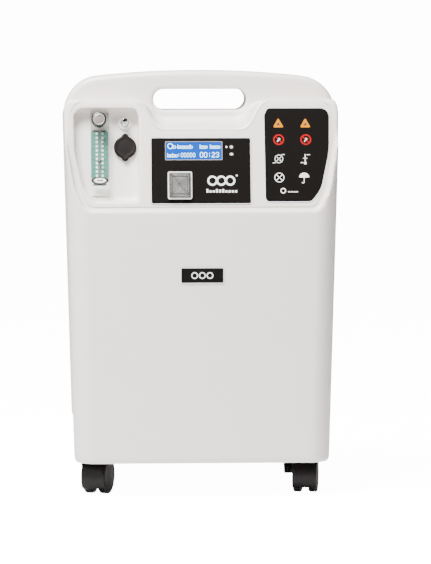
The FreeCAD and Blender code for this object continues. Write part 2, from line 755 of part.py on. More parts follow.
def product_tank():
    y = -92.0
    tube = rod(24, (0, y, FLOOR_Z + 0.2), (0, y, 250))
    port = rod(5, (0, y, 250), (0, y, 262))
    return fillet(tube, 8, lambda e: e.Curve.TypeId == "Part::GeomCircle").fuse(port)


def regulator():
    """Pressure regulator on the product tank."""
    y = -92.0
    body = box((-16, y - 16, 262.1), (16, y + 16, 284))
    dome = rod(14, (0, y, 284), (0, y, 296))
    return body.fuse(dome)


def valve_block():
    """Manifold with two solenoid valves over the sieve beds."""
    y = -90.0
    block = box((-95, y - 20, 318.2), (95, y + 20, 336))
    coils = [rod(12, (x, y, 336), (x, y, 354)) for x in (-60, -20, 20, 60)]
    caps = [rod(5, (x, y, 354), (x, y, 358)) for x in (-60, -20, 20, 60)]
    return fuse([block] + coils + caps)


def heat_exchanger():
    """Serpentine copper cooling coil above the fan."""
    z = BOX[1][2] + 33
    radius = 9.0
    y0 = COMPRESSOR[1] - 54
    pieces = []
    for index in range(7):
        y = y0 + index * 2 * radius
        pieces.append(rod(3, (-46, y, z), (46, y, z)))
        if index < 6:
            side = 1 if index % 2 == 0 else -1
            bend = Part.makeTorus(radius, 3, V(side * 46, y + radius, z), V(0, 0, 1), -180, 180, 180)
            pieces.append(turned(bend, -90 * side, V(side * 46, y + radius, z)))
    return fuse(pieces)


def electronics_tray():
    tray = box((-140, -55, TRAY_Z), (140, 106, TRAY_Z + 2))
    lip = box((-140, 104, TRAY_Z + 2), (140, 106, TRAY_Z + 16))
    return tray.fuse(lip)


def control_board():
    """Main board with its heat sink, relays and connectors."""
    z = TRAY_Z + 10
    board = box((-130, -45, z), (-20, 60, z + 1.6))
    parts = [box((-120, -35, z), (-95, 20, z + 22)), box((-85, -35, z), (-65, -15, z + 16)),
             box((-60, -35, z), (-40, -15, z + 16)), box((-85, 10, z), (-55, 40, z + 5)),
             box((-45, 10, z), (-30, 50, z + 10))]
    posts = [rod(3, (x, y, TRAY_Z + 2.1), (x, y, z)) for x in (-125, -26) for y in (-40, 54)]
    return fuse([board] + parts + posts)


def power_supply():
    case = box((0, -40, TRAY_Z + 2.1), (62, 50, TRAY_Z + 46))
    slots = [box((8 + 8 * k, -50, TRAY_Z + 34), (12 + 8 * k, 60, TRAY_Z + 38)) for k in range(6)]
    return cut_each(case, slots)


def run_capacitor():
    return rod(17, (92, -20, TRAY_Z + 20), (92, 60, TRAY_Z + 20)).fuse(
        box((84, -14, TRAY_Z + 2.1), (100, 54, TRAY_Z + 8)))


def intake_filter():
    """Fine-particle intake canister with its outlet snout."""
    x, y = INTAKE_AT
    can = rod(22, (x, y, 172), (x, y, 232))
    lid = rod(24, (x, y, 224), (x, y, 230))
    snout = rod(7, (x, y, 232), (x, y, 250))
    return fuse([can, lid, snout])


def exhaust_muffler():
    can = rod(20, (134, 70, 100), (134, 70, 190))
    ends = [rod(22, (134, 70, 98), (134, 70, 103)), rod(22, (134, 70, 187), (134, 70, 192))]
    return fuse([can] + ends)


def bent_hose(points, radius, bend):
    """Hose along straight runs joined by tangent bends."""
    points = [V(*p) for p in points]
    edges = []
    cursor = points[0]
    for index in range(1, len(points) - 1):
        corner = points[index]
        before = (points[index - 1] - corner).normalize()
        after = (points[index + 1] - corner).normalize()
        half = before.getAngle(after) / 2
        run = bend / math.tan(half)
        middle = (before + after).normalize()
        start = corner + before * run
        end = corner + after * run
        bulge = corner + middle * (bend / math.sin(half) - bend)
        edges += [Part.makeLine(cursor, start), Part.Arc(start, bulge, end).toShape()]
        cursor = end
    edges.append(Part.makeLine(cursor, points[-1]))
    profile = Part.Wire([Part.makeCircle(radius, points[0], points[1] - points[0])])
    return Part.Wire(edges).makePipeShell([profile], True, False)


def hoses():
    """Air and product hoses between the box, the coil, the valves and the flow meter."""
    coil_z = BOX[1][2] + 33
    roof = BOX[1][2] + 0.2
    x, y = INTAKE_AT
    stub = on_console(STUB_END - 0.2)(*METER_STUB)
    behind = on_console(STUB_END - 16)(*METER_STUB)
    return Part.makeCompound([
        bent_hose([(x, y, 250.1), (x, y, 274), (x + 46, y, 274), (x + 46, y, roof)], 5, 10),
        bent_hose([(46.2, 80, coil_z), (76, 80, coil_z), (76, 80, roof)], 4, 9),
        bent_hose([(-46.2, -28, coil_z), (-75, -28, coil_z), (-75, -61, coil_z), (-75, -61, 327),
                   (-75, -69.9, 327)], 4, 8),
        bent_hose([(0, -75.9, 273), (0, -62, 273), (0, -62, 372), tuple(behind), tuple(stub)], 3.2, 10),
    ])


def main():
    nodes = {}
    nodes["front_shell"], nodes["rear_shell"] = shells()
    nodes["shell_screws"] = screws()
    makers = {
        "display_fascia": fascia, "lcd_module": lcd_module,
        "display_board": display_board, "indicator_leds": indicator_leds,
        "switch_body": switch_body, "switch_rocker": switch_rocker, "switch_cover": switch_cover,
        "symbol_label": symbol_label, "badge_plate": badge,
        "flowmeter_body": meter_body, "flowmeter_scale": meter_scale, "flowmeter_ball": float_ball,
        "flow_knob": flow_knob,
        "outlet_bezel": outlet_bezel, "outlet_nozzle": outlet_nozzle,
        "port_cap": port_cap,
        "filter_door": filter_door, "filter_foam": filter_foam, "vent_grille": vent_grille,
        "power_inlet": power_inlet, "inlet_pins": inlet_pins, "base_pan": base_pan,
        "sound_box": sound_box, "compressor_body": compressor, "compressor_heads": compressor_heads,
        "compressor_springs": compressor_springs, "fan_frame": fan_frame, "fan_rotor": fan_rotor,
        "product_tank": product_tank, "pressure_regulator": regulator, "valve_block": valve_block,
        "heat_exchanger": heat_exchanger, "electronics_tray": electronics_tray,
        "control_board": control_board, "power_supply": power_supply, "run_capacitor": run_capacitor,
        "intake_filter": intake_filter, "exhaust_muffler": exhaust_muffler,
        "hose_set": hoses,
    }
    for name, maker in makers.items():
        nodes[name] = maker()
    nodes["sieve_bed_left"] = sieve_bed(-62.0)
    nodes["sieve_bed_right"] = sieve_bed(62.0)
    for corner, place in stem_places().items():
        for piece, shape in caster(place, CASTER_YAW[corner]).items():
            nodes[f"caster_{corner}_{piece}"] = shape
    os.makedirs("parts", exist_ok=True)
    for name, shape in nodes.items():
        shape.exportStep(f"parts/{name}.step")
        print(name, shape.isValid(), len(shape.Solids), round(shape.Volume))
    print(len(nodes), "nodes")


if __name__ == "__main__":
    main()
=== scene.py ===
import bpy
import math
import numpy as np
from mathutils import Matrix, Vector


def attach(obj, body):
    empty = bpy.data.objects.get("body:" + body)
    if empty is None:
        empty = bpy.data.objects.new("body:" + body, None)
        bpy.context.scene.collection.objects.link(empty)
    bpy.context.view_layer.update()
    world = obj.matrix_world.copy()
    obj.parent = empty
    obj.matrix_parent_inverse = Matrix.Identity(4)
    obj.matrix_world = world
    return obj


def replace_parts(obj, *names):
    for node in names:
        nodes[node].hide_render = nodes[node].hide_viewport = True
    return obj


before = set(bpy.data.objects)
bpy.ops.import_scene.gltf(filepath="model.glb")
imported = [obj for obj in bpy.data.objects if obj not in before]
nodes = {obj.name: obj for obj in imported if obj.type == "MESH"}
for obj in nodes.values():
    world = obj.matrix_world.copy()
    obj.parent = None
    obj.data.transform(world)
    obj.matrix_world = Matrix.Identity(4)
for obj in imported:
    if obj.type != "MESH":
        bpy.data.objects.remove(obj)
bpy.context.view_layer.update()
MM = 0.001

# ---- sizes, millimetres
WIDTH_SHOULDER, WIDTH_FOOT, HEIGHT, DEPTH = 347.6, 323.8, 538.0, 260.0
SKIRT_Z, WALL, SPLIT_Y, SHOULDER_Z, SHOULDER_R = 40.5, 2.8, -20.0, 479.0, 43.0
CROWN_R, UPRIGHT_R, SKIRT_R = 1225.0, 28.0, 10.0
FOOT_Y, FOOT_Z, LEAN = -122.0, 366.0, math.radians(15)
STEP_Z, STEP_HALF, STEP_BEND, STEP_END = 363.5, 147.0, (160.5, 27.0), (173.2, 100.0)
LEDGE_Z, BROW_Z = 467.4, 504.0
HANDLE_FRONT_Y, HANDLE_REAR_Y, RIM_Y = -45.0, 22.0, -90.0
LEDGE_SLOPE = 8.6 / 45.0
GRIP_HALF, GRIP_R, GRIP_Z = 59.5, 13.25, 501.0
NECK_Z, REAR_FALL = 474.0, 0.32
SHELF, DEEP, SHELF_X = 15.0, 19.0, -114.0

WING = [(80.0, 374.5, 6), (136.5, 374.5, 8), (149.5, 390, 40), (160.5, 436, 90),
        (161.5, 490.5, 12), (84.0, 490.5, 6), (79.5, 481, 6)]
PANEL = (-65.0, 62.0, 371.0, 454.4)
PANEL_FRONT = 0.8
LCD = (-46.5, 25.7, 426.0, 449.3)
SWITCH = (-43.3, -13.2, 377.3, 411.0)
ROCKER = (-37.7, -18.8, 382.6, 405.7)
BADGE = (-28.0, 26.4, 272.0, 292.0)
LABEL_GROW, LABEL_TOP = 1.2, 0.6
SKIN_STEP, CAVITY_STEP = 2.3, 4.0
STEP_ROOT_R, CONSOLE_EDGE_R, LEDGE_EDGE_R, NECK_R = 2.5, 3.5, 5.0, 12.0
HANDLE_EDGE_R, HANDLE_ROOT_R, GRIP_EDGE_R = 7.5, 6.0, 4.5
RECESS_FLOOR_R, RECESS_EDGE_R = 6.0, 2.5
DOOR = (-75.0, 75.0, 285.0, 385.0)
VENT = (-60.0, 60.0, 96.0, 136.0)
INLET = (-128.0, -100.0, 100.0, 120.0)
METER = (-140.8, -116.6, 383.5, 489.0)
TUBE_Z, OVAL_Z = (407.5, 464.8), 401.4
KNOB = (-129.8, 476.2)
OUTLET = (-96.8, 476.6)
PORT = (-96.5, 445.6)
SHELL_SCREWS = [(146.0, 92.0), (152.0, 330.0), (112.0, 508.0)]


# ---- places on the console
def console(x, z, lift=0.0):
    """Point on the leaning face at height z, lifted off it."""
    run = (z - FOOT_Z) / math.cos(LEAN)
    return np.array([x, FOOT_Y + run * math.sin(LEAN) - lift * math.cos(LEAN),
                     FOOT_Z + run * math.cos(LEAN) + lift * math.sin(LEAN)])


OUT = np.array([0.0, -math.cos(LEAN), math.sin(LEAN)])
UP = np.array([0.0, math.sin(LEAN), math.cos(LEAN)])


def front_face(x, z, lift=0.0):
    return np.array([x, -DEPTH / 2 - lift, z])


def rear_face(x, z, lift=0.0):
    return np.array([x, DEPTH / 2 + lift, z])


# ---- meshes
def new_object(name, points, faces, body, slot, material, smooth=True, sharp=35.0):
    """Piece from points in millimetres, riding on a body."""
    mesh = bpy.data.meshes.new(name)
    mesh.from_pydata((np.asarray(points) * MM).tolist(), [], [list(map(int, f)) for f in faces])
    mesh.validate()
    return place_mesh(name, mesh, body, slot, material, smooth, sharp)


def place_mesh(name, mesh, body, slot, material, smooth=True, sharp=35.0):
    obj = bpy.data.objects.new(name, mesh)
    bpy.context.scene.collection.objects.link(obj)
    if smooth:
        shade(mesh, sharp)
    mesh.materials.clear()
    mesh.materials.append(material)
    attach(obj, body)
    return obj


def shade(mesh, limit):
    """Smooth shading, with edges sharper than the limit in degrees kept crisp."""
    mesh.polygons.foreach_set("use_smooth", np.ones(len(mesh.polygons), bool))
    count = len(mesh.loops)
    edge = np.empty(count, np.int32)
    mesh.loops.foreach_get("edge_index", edge)
    total = np.empty(len(mesh.polygons), np.int32)
    mesh.polygons.foreach_get("loop_total", total)
    normal = np.empty(len(mesh.polygons) * 3, np.float32)
    mesh.polygons.foreach_get("normal", normal)
    normal = normal.reshape(-1, 3)
    face = np.repeat(np.arange(len(total)), total)
    order = np.argsort(edge, kind="stable")
    e, f = edge[order], face[order]
    pair = np.nonzero(e[1:] == e[:-1])[0]
    cosine = (normal[f[pair]] * normal[f[pair + 1]]).sum(1)
    crisp = np.zeros(len(mesh.edges), bool)
    crisp[e[pair[cosine < math.cos(math.radians(limit))]]] = True
    mesh.edges.foreach_set("use_edge_sharp", crisp)
    mesh.update()


def rounded(corners, step=0.8):
    """Closed outline through corners (x, z, radius), each rounded."""
    out = []
    count = len(corners)
    for index, (x, z, radius) in enumerate(corners):
        here = np.array([x, z], float)
        if radius == 0:
            out.append(here)
            continue
        before = np.array(corners[index - 1][:2]) - here
        after = np.array(corners[(index + 1) % count][:2]) - here
        before = before / np.linalg.norm(before)
        after = after / np.linalg.norm(after)
        half = math.acos(np.clip(before @ after, -1, 1)) / 2
        run = radius / math.tan(half)
        middle = (before + after) / np.linalg.norm(before + after)
        centre = here + middle * radius / math.sin(half)
        start, end = here + before * run - centre, here + after * run - centre
        angle = math.atan2(start[1], start[0])
        turn = (math.atan2(end[1], end[0]) - angle + math.pi) % (2 * math.pi) - math.pi
        parts = max(3, int(abs(turn) * radius / step) + 1)
        for t in np.linspace(0, 1, parts + 1):
            a = angle + turn * t
            out.append(centre + radius * np.array([math.cos(a), math.sin(a)]))
    return np.array(out)


def rect(bounds, radius, grow=0.0):
    """Corners of a rectangle (x0, x1, z0, z1), grown on every side."""
    x0, x1, z0, z1 = np.array(bounds) + grow * np.array([-1, 1, -1, 1])
    r = max(radius + grow, 0.2)
    return [(x0, z0, r), (x1, z0, r), (x1, z1, r), (x0, z1, r)]


def inset(points, distance):
    """Outline moved inwards by a small distance."""
    after = np.roll(points, -1, 0) - points
    keep = np.linalg.norm(after, axis=1) > 1e-6
    points = points[keep]
    after = np.roll(points, -1, 0) - points
    before = points - np.roll(points, 1, 0)
    a = after / np.linalg.norm(after, axis=1, keepdims=True)
    b = before / np.linalg.norm(before, axis=1, keepdims=True)
    area = np.sum(points[:, 0] * np.roll(points[:, 1], -1) - points[:, 1] * np.roll(points[:, 0], -1))
    side = 1 if area > 0 else -1
    normal = side * np.stack([-(a + b)[:, 1], (a + b)[:, 0]], 1)
    size = np.linalg.norm(normal, axis=1, keepdims=True)
    normal = normal / size
    stretch = np.minimum(1.5, 2 / np.maximum(size, 1e-6))
    return points + normal * distance * stretch


def loft(rings):
    """Skin over rings of equal length, closed at both ends."""
    count = len(rings[0])
    points = np.concatenate(rings)
    faces = []
    for level in range(len(rings) - 1):
        base = level * count
        for i in range(count):
            j = (i + 1) % count
            faces.append((base + i, base + j, base + count + j, base + count + i))
    faces.append(tuple(range(count))[::-1])
    faces.append(tuple(range((len(rings) - 1) * count, len(rings) * count)))
    return points, faces


def lofted_plate(outline, place, profile):
    """Plate on a plane: profile is a list of (inset, lift) from back to front."""
    rings = []
    for depth, lift in profile:
        rings.append(np.array([place(a, b, lift) for a, b in inset(outline, depth)]))
    return loft(rings)


def frame_of(axis):
    axis = np.asarray(axis, float) / np.linalg.norm(axis)
    helper = np.array([1.0, 0, 0]) if abs(axis[0]) < 0.9 else np.array([0, 1.0, 0])
    u = np.cross(helper, axis)
    u /= np.linalg.norm(u)
    return u, np.cross(axis, u), axis


def lathe(origin, axis, profile, parts=64, ripple=None):
    """Turned piece: profile is a list of (radius, height along the axis)."""
    u, v, w = frame_of(axis)
    rings = []
    for index, (radius, height) in enumerate(profile):
        ring = []
        for k in range(parts):
            angle = 2 * math.pi * k / parts
            r = radius if ripple is None else ripple(radius, angle, index)
            ring.append(origin + u * r * math.cos(angle) + v * r * math.sin(angle) + w * height)
        rings.append(np.array(ring))
    return loft(rings)


def ring_lathe(origin, axis, profile, parts=64):
    """Turned ring: the profile is a closed loop of (radius, height)."""
    u, v, w = frame_of(axis)
    angles = np.arange(parts) * 2 * math.pi / parts
    around = np.cos(angles)[:, None] * u + np.sin(angles)[:, None] * v
    points = np.concatenate([origin + radius * around + w * height for radius, height in profile])
    faces = []
    levels = len(profile)
    for level in range(levels):
        low, high = level * parts, ((level + 1) % levels) * parts
        for i in range(parts):
            j = (i + 1) % parts
            faces.append((low + i, low + j, high + j, high + i))
    return points, faces


def merged(pieces):
    points, faces, base = [], [], 0
    for p, f in pieces:
        points.append(np.asarray(p))
        faces += [tuple(i + base for i in face) for face in f]
        base += len(p)
    return np.concatenate(points), faces


def walls(count, full=True):
    """Faces of a bar made of four rows of points, a back pair and then a front pair."""
    faces = []
    for k in range(count if full else count - 1):
        m = (k + 1) % count
        faces += [(k, m, count + m, count + k),
                  (2 * count + k, 3 * count + k, 3 * count + m, 2 * count + m),
                  (k, 2 * count + k, 2 * count + m, m),
                  (count + k, count + m, 3 * count + m, 3 * count + k)]
    if not full:
        last = count - 1
        faces += [(0, count, 3 * count, 2 * count),
                  (last, 2 * count + last, 3 * count + last, count + last)]
    return faces


class Print:
    """Raised print on a plane, gathered from simple marks."""

    def __init__(self, place, back, front, squash=1.0):
        self.place, self.back, self.front, self.squash = place, back, front, squash
        self.pieces = []

    def poly(self, outline):
        rings = [np.array([self.place(a, b, lift) for a, b in outline]) for lift in (self.back, self.front)]
        self.pieces.append(loft(rings))

    def box(self, x0, x1, z0, z1):
        self.poly([(x0, z0), (x1, z0), (x1, z1), (x0, z1)])

    def bar(self, a, b, width):
        a, b = np.array(a, float), np.array(b, float)
        run = (b - a) / np.linalg.norm(b - a)
        side = np.array([-run[1], run[0]]) * width / 2
        self.poly([a - side, b - side, b + side, a + side])

    def dot(self, x, z, radius, parts=14):
        angles = np.arange(parts) * 2 * math.pi / parts
        self.poly([(x + radius * math.cos(t), z + radius * math.sin(t) * self.squash) for t in angles])

    def arc(self, x, z, radius, width, start=0.0, end=360.0, stretch=1.0):
        parts = max(6, int(abs(end - start) / 9))
        full = abs(end - start) >= 359.9
        rows = []
        for lift in (self.back, self.front):
            for r in (radius - width / 2, radius + width / 2):
                row = []
                for k in range(parts + (0 if full else 1)):
                    t = math.radians(start + (end - start) * k / parts)
                    row.append(self.place(x + r * stretch * math.cos(t),
                                          z + r * math.sin(t) * self.squash, lift))
                rows.append(row)
        self.pieces.append((np.array(sum(rows, [])), walls(len(rows[0]), full)))

    def border(self, outline, width):
        """Line of a given width along the inside of a closed outline."""
        pair = inset(outline, 0.0), inset(outline, width)
        rows = [[self.place(a, b, lift) for a, b in ring]
                for lift in (self.back, self.front) for ring in pair]
        self.pieces.append((np.array(sum(rows, [])), walls(len(rows[0]))))

    def build(self, name, slot, material, body="cabinet"):
        points, faces = merged(self.pieces)
        return new_object(name, points, faces, body, slot, material, smooth=False)


def console_print(back, front):
    """Print on the leaning console, with its rings flattened by the lean."""
    return Print(console, back, front, math.cos(LEAN))


# ---- moulded surfaces
def round_meet(a, b, r):
    """Both of two distance fields, with the convex edge between them rounded."""
    u = np.maximum(a + r, 0)
    v = np.maximum(b + r, 0)
    return np.minimum(np.maximum(a, b), -r) + np.sqrt(u * u + v * v)


def round_join(a, b, r):
    """Either of two distance fields, with the inner corner between them rounded."""
    return -round_meet(-a, -b, r)


def open_chain(corners, step=2.0):
    """Polyline through corners (x, z, radius), the ends left square."""
    whole = rounded([(*corners[0][:2], 0)] + corners[1:-1] + [(*corners[-1][:2], 0)], step)
    return [tuple(p) for p in whole]


def chain_distance(x, z, points):
    best = np.full(np.broadcast(x, z).shape, 1e9, np.float32)
    for (ax, az), (bx, bz) in zip(points, points[1:]):
        dx, dz = bx - ax, bz - az
        length = dx * dx + dz * dz
        if length < 1e-9:
            continue
        t = np.clip(((x - ax) * dx + (z - az) * dz) / length, 0, 1)
        best = np.minimum(best, np.hypot(x - ax - t * dx, z - az - t * dz))
    return best


def inside_loop(x, z, points):
    inside = np.zeros(np.broadcast(x, z).shape, bool)
    for (ax, az), (bx, bz) in zip(points, points[1:] + points[:1]):
        if bz == az:
            continue
        inside ^= ((az > z) != (bz > z)) & (x < ax + (z - az) * (bx - ax) / (bz - az))
    return inside


class Contour:
    """Signed distance to a line in the (x, z) plane, negative on its inner side."""

    def __init__(self, line, closed_by, step, low, high):
        xs, zs = np.arange(low[0], high[0], step), np.arange(low[1], high[1], step)
        x, z = np.meshgrid(xs, zs, indexing="ij")
        chain = line if closed_by else line + line[:1]
        distance = chain_distance(x, z, chain)
        self.low, self.step = low, step
        self.grid = np.where(inside_loop(x, z, line + closed_by), -distance, distance).astype(np.float32)

    def __call__(self, x, z):
        g = self.grid
        fx = np.clip((x - self.low[0]) / self.step, 0, g.shape[0] - 1.001)
        fz = np.clip((z - self.low[1]) / self.step, 0, g.shape[1] - 1.001)
        i, k = fx.astype(int), fz.astype(int)
        u, v = fx - i, fz - k
        return (g[i, k] * (1 - u) * (1 - v) + g[i + 1, k] * u * (1 - v)
                + g[i, k + 1] * (1 - u) * v + g[i + 1, k + 1] * u * v)


def mirrored(right):
    return [(-x, z, r) for x, z, r in reversed(right)] + right


step_line = Contour(
    open_chain(mirrored([(STEP_HALF, STEP_Z, 14), (STEP_BEND[0], STEP_Z + STEP_BEND[1], 70),
                         (STEP_END[0], STEP_Z + STEP_END[1], 80), (228, 628, 0)])),
    [(259, 628), (259, 21), (-259, 21), (-259, 628)], 1.0, (-262.0, 20.0), (262.0, 600.0))
brow_line = Contour(
    open_chain(mirrored([(55.5, LEDGE_Z, 22), (76, BROW_Z, 20), (240, BROW_Z, 0)])),
    [(240, 21), (-240, 21)], 1.0, (-262.0, 20.0), (262.0, 600.0))
recess_line = Contour([tuple(p) for p in rounded([(-x, z, r) for x, z, r in WING], 2.0)], [], 0.5,
                      (-202.0, 334.0), (-39.0, 531.0))


def cabinet_body(x, y, z, with_skirt=True):
    """Distance to the outside of the cabinet, and to the console plane."""
    slope = (WIDTH_SHOULDER - WIDTH_FOOT) / 2 / (SHOULDER_Z - SKIRT_Z)
    side = (np.abs(x) - WIDTH_FOOT / 2 - slope * (z - SKIRT_Z)) / math.hypot(1, slope)
    crown = np.hypot(x, z - (HEIGHT - CROWN_R)) - CROWN_R
    silhouette = round_meet(side, crown, SHOULDER_R)
    block = round_meet(silhouette, np.abs(y) - DEPTH / 2, UPRIGHT_R)
    if with_skirt:
        block = round_meet(block, SKIRT_Z - z, SKIRT_R)
    ahead = -(y - FOOT_Y) * math.cos(LEAN) + (z - FOOT_Z) * math.sin(LEAN)
    block = round_meet(block, round_join(ahead, step_line(x, z), STEP_ROOT_R), CONSOLE_EDGE_R)
    under = brow_line(x, z - LEDGE_SLOPE * (y - RIM_Y)) / math.hypot(1, LEDGE_SLOPE)
    block = round_meet(block, under, LEDGE_EDGE_R)
    fall = math.atan(REAR_FALL)
    behind = (z - NECK_Z) * math.cos(fall) + (y - HANDLE_REAR_Y) * math.sin(fall)
    block = round_meet(block, behind, NECK_R)
    handle = round_meet(silhouette, np.maximum(HANDLE_FRONT_Y - y, y - HANDLE_REAR_Y), HANDLE_EDGE_R)
    handle = np.maximum(handle, SKIRT_Z + 60 - z)
    body = round_join(block, handle, HANDLE_ROOT_R)
    grip = np.hypot(np.maximum(np.abs(x) - (GRIP_HALF - GRIP_R), 0), z - GRIP_Z) - GRIP_R
    return round_meet(body, -grip, GRIP_EDGE_R), ahead


def with_recess(body, ahead, x, z, grow):
    depth = SHELF + (DEEP - SHELF) * np.clip((x - SHELF_X + 4) / 6, 0, 1)
    hole = round_join(grow - recess_line(x, z), ahead + depth + grow, RECESS_FLOOR_R)
    return round_meet(body, hole, RECESS_EDGE_R)


def skin_field(x, y, z):
    body, ahead = cabinet_body(x, y, z)
    return with_recess(body, ahead, x, z, 0.0)


def cavity_field(x, y, z):
    body, ahead = cabinet_body(x, y, z, False)
    return with_recess(body, ahead, x, z, WALL) + WALL


def surface_nets(field, low, high, step):
    """Quad mesh of the zero level of a field inside a box."""
    axes = [np.arange(a, b + step, step, dtype=np.float32) for a, b in zip(low, high)]
    shape = [len(a) for a in axes]
    values = np.empty(shape, np.float32)
    for i in range(0, shape[0], 24):
        grid = np.meshgrid(axes[0][i:i + 24], axes[1], axes[2], indexing="ij")
        values[i:i + 24] = field(*grid)
    for face in range(3):
        edge = [slice(None)] * 3
        for end in (0, -1):
            edge[face] = end
            values[tuple(edge)] = np.maximum(values[tuple(edge)], 0.01)
    inside = values < 0
    count = np.zeros([n - 1 for n in shape], np.int8)
    for i in (0, 1):
        for j in (0, 1):
            for k in (0, 1):
                count += inside[i:shape[0] - 1 + i, j:shape[1] - 1 + j, k:shape[2] - 1 + k]
    cells = np.argwhere((count > 0) & (count < 8))
    index = np.full([n - 1 for n in shape], -1, np.int64)
    index[tuple(cells.T)] = np.arange(len(cells))
    total, number = np.zeros((len(cells), 3)), np.zeros(len(cells))
    for a in range(3):
        b, c = [q for q in range(3) if q != a]
        for db in (0, 1):
            for dc in (0, 1):
                p = cells.copy()
                p[:, b] += db
                p[:, c] += dc
                q = p.copy()
                q[:, a] += 1
                f0, f1 = values[tuple(p.T)], values[tuple(q.T)]
                hit = (f0 < 0) != (f1 < 0)
                point = p.astype(float)
                point[:, a] += np.where(hit, f0 / np.where(hit, f0 - f1, 1), 0)
                total[hit] += point[hit]
                number[hit] += 1
    points = total / number[:, None] * step + np.array([a[0] for a in axes])
    quads = []
    for a in range(3):
        b, c = (a + 1) % 3, (a + 2) % 3
        first, second = [slice(1, -1)] * 3, [slice(1, -1)] * 3
        first[a], second[a] = slice(0, shape[a] - 1), slice(1, shape[a])
        edge = np.argwhere(inside[tuple(first)] != inside[tuple(second)])
        forward = inside[tuple(first)][tuple(edge.T)]
        offset = np.ones(3, int)
        offset[a] = 0
        edge = edge + offset
        ring = []
        for db, dc in ((1, 1), (0, 1), (0, 0), (1, 0)):
            q = edge.copy()
            q[:, b] -= db
            q[:, c] -= dc
            ring.append(index[tuple(q.T)])
        ring = np.stack(ring, 1)
        ring[~forward] = ring[~forward][:, ::-1]
        quads.append(ring)
    return points, np.concatenate(quads)


def settle(field, points, rounds=3, cap=1.0):
    """Moves the points onto the zero level of the field."""
    h = 0.05
    for _ in range(rounds):
        x, y, z = (points[:, i].astype(np.float64) for i in range(3))
        d = field(x, y, z)
        slope = np.stack([field(x + h, y, z) - field(x - h, y, z), field(x, y + h, z) - field(x, y - h, z),
                          field(x, y, z + h) - field(x, y, z - h)], 1) / (2 * h)
        move = -(d / np.maximum((slope * slope).sum(1), 0.25))[:, None] * slope
        size = np.linalg.norm(move, axis=1, keepdims=True)
        points = points + move * np.minimum(1, cap / np.maximum(size, 1e-9))
    return points


def quad_mesh(name, points, quads):
    mesh = bpy.data.meshes.new(name)
    mesh.vertices.add(len(points))
    mesh.vertices.foreach_set("co", (points * MM).astype(np.float32).ravel())
    mesh.loops.add(len(quads) * 4)
    mesh.loops.foreach_set("vertex_index", quads.astype(np.int32).ravel())
    mesh.polygons.add(len(quads))
    mesh.polygons.foreach_set("loop_start", np.arange(0, len(quads) * 4, 4, dtype=np.int32))
    mesh.update(calc_edges=True)
    mesh.validate()
    return mesh


def moulded(name, field, low, high, step, cap=1.0):
    points, quads = surface_nets(field, low, high, step)
    return quad_mesh(name, settle(field, points, cap=cap), quads)


def solid_mesh(pieces):
    points, faces = merged(pieces)
    mesh = bpy.data.meshes.new("tool")
    mesh.from_pydata((points * MM).tolist(), [], [list(map(int, f)) for f in faces])
    mesh.validate()
    return mesh


def combined(mesh, tool, operation):
    """Boolean of two closed meshes."""
    a, b = bpy.data.objects.new("a", mesh), bpy.data.objects.new("b", tool)
    for o in (a, b):
        bpy.context.scene.collection.objects.link(o)
    change = a.modifiers.new("bool", "BOOLEAN")
    change.operation, change.object, change.solver = operation, b, "MANIFOLD"
    bpy.context.view_layer.update()
    made = bpy.data.meshes.new_from_object(a.evaluated_get(bpy.context.evaluated_depsgraph_get()))
    for o in (a, b):
        bpy.data.objects.remove(o)
    return made


def outward(piece):
    """Turns a piece inside out if its faces point inwards."""
    points, faces = piece
    points = np.asarray(points)
    volume = 0.0
    for face in faces:
        for i in range(1, len(face) - 1):
            volume += np.dot(points[face[0]], np.cross(points[face[i]], points[face[i + 1]]))
    return points, ([f[::-1] for f in faces] if volume < 0 else faces)


def block(low, high):
    x0, y0, z0 = low
    x1, y1, z1 = high
    ring = [(x0, y0), (x1, y0), (x1, y1), (x0, y1)]
    return outward(loft([np.array([(x, y, z) for x, y in ring]) for z in (z0, z1)]))


def prism(outline, place, back, front):
    ring = inset(outline, 0.0)
    return outward(loft([np.array([place(a, b, lift) for a, b in ring]) for lift in (back, front)]))


def rod(start, end, radius, parts=40):
    start, end = np.asarray(start, float), np.asarray(end, float)
    axis = end - start
    return outward(lathe(start, axis, [(radius, 0), (radius, np.linalg.norm(axis))], parts))


def console_rod(centre, radius, back, front, parts=40):
    return rod(console(*centre, back), console(*centre, front), radius, parts)


# ---- finishes
def linked(tree, kind, **inputs):
    node = tree.nodes.new(kind)
    for name, value in inputs.items():
        key = name.replace("_", " ")
        if isinstance(value, bpy.types.NodeSocket):
            tree.links.new(value, node.inputs[key])
        else:
            node.inputs[key].default_value = value
    return node


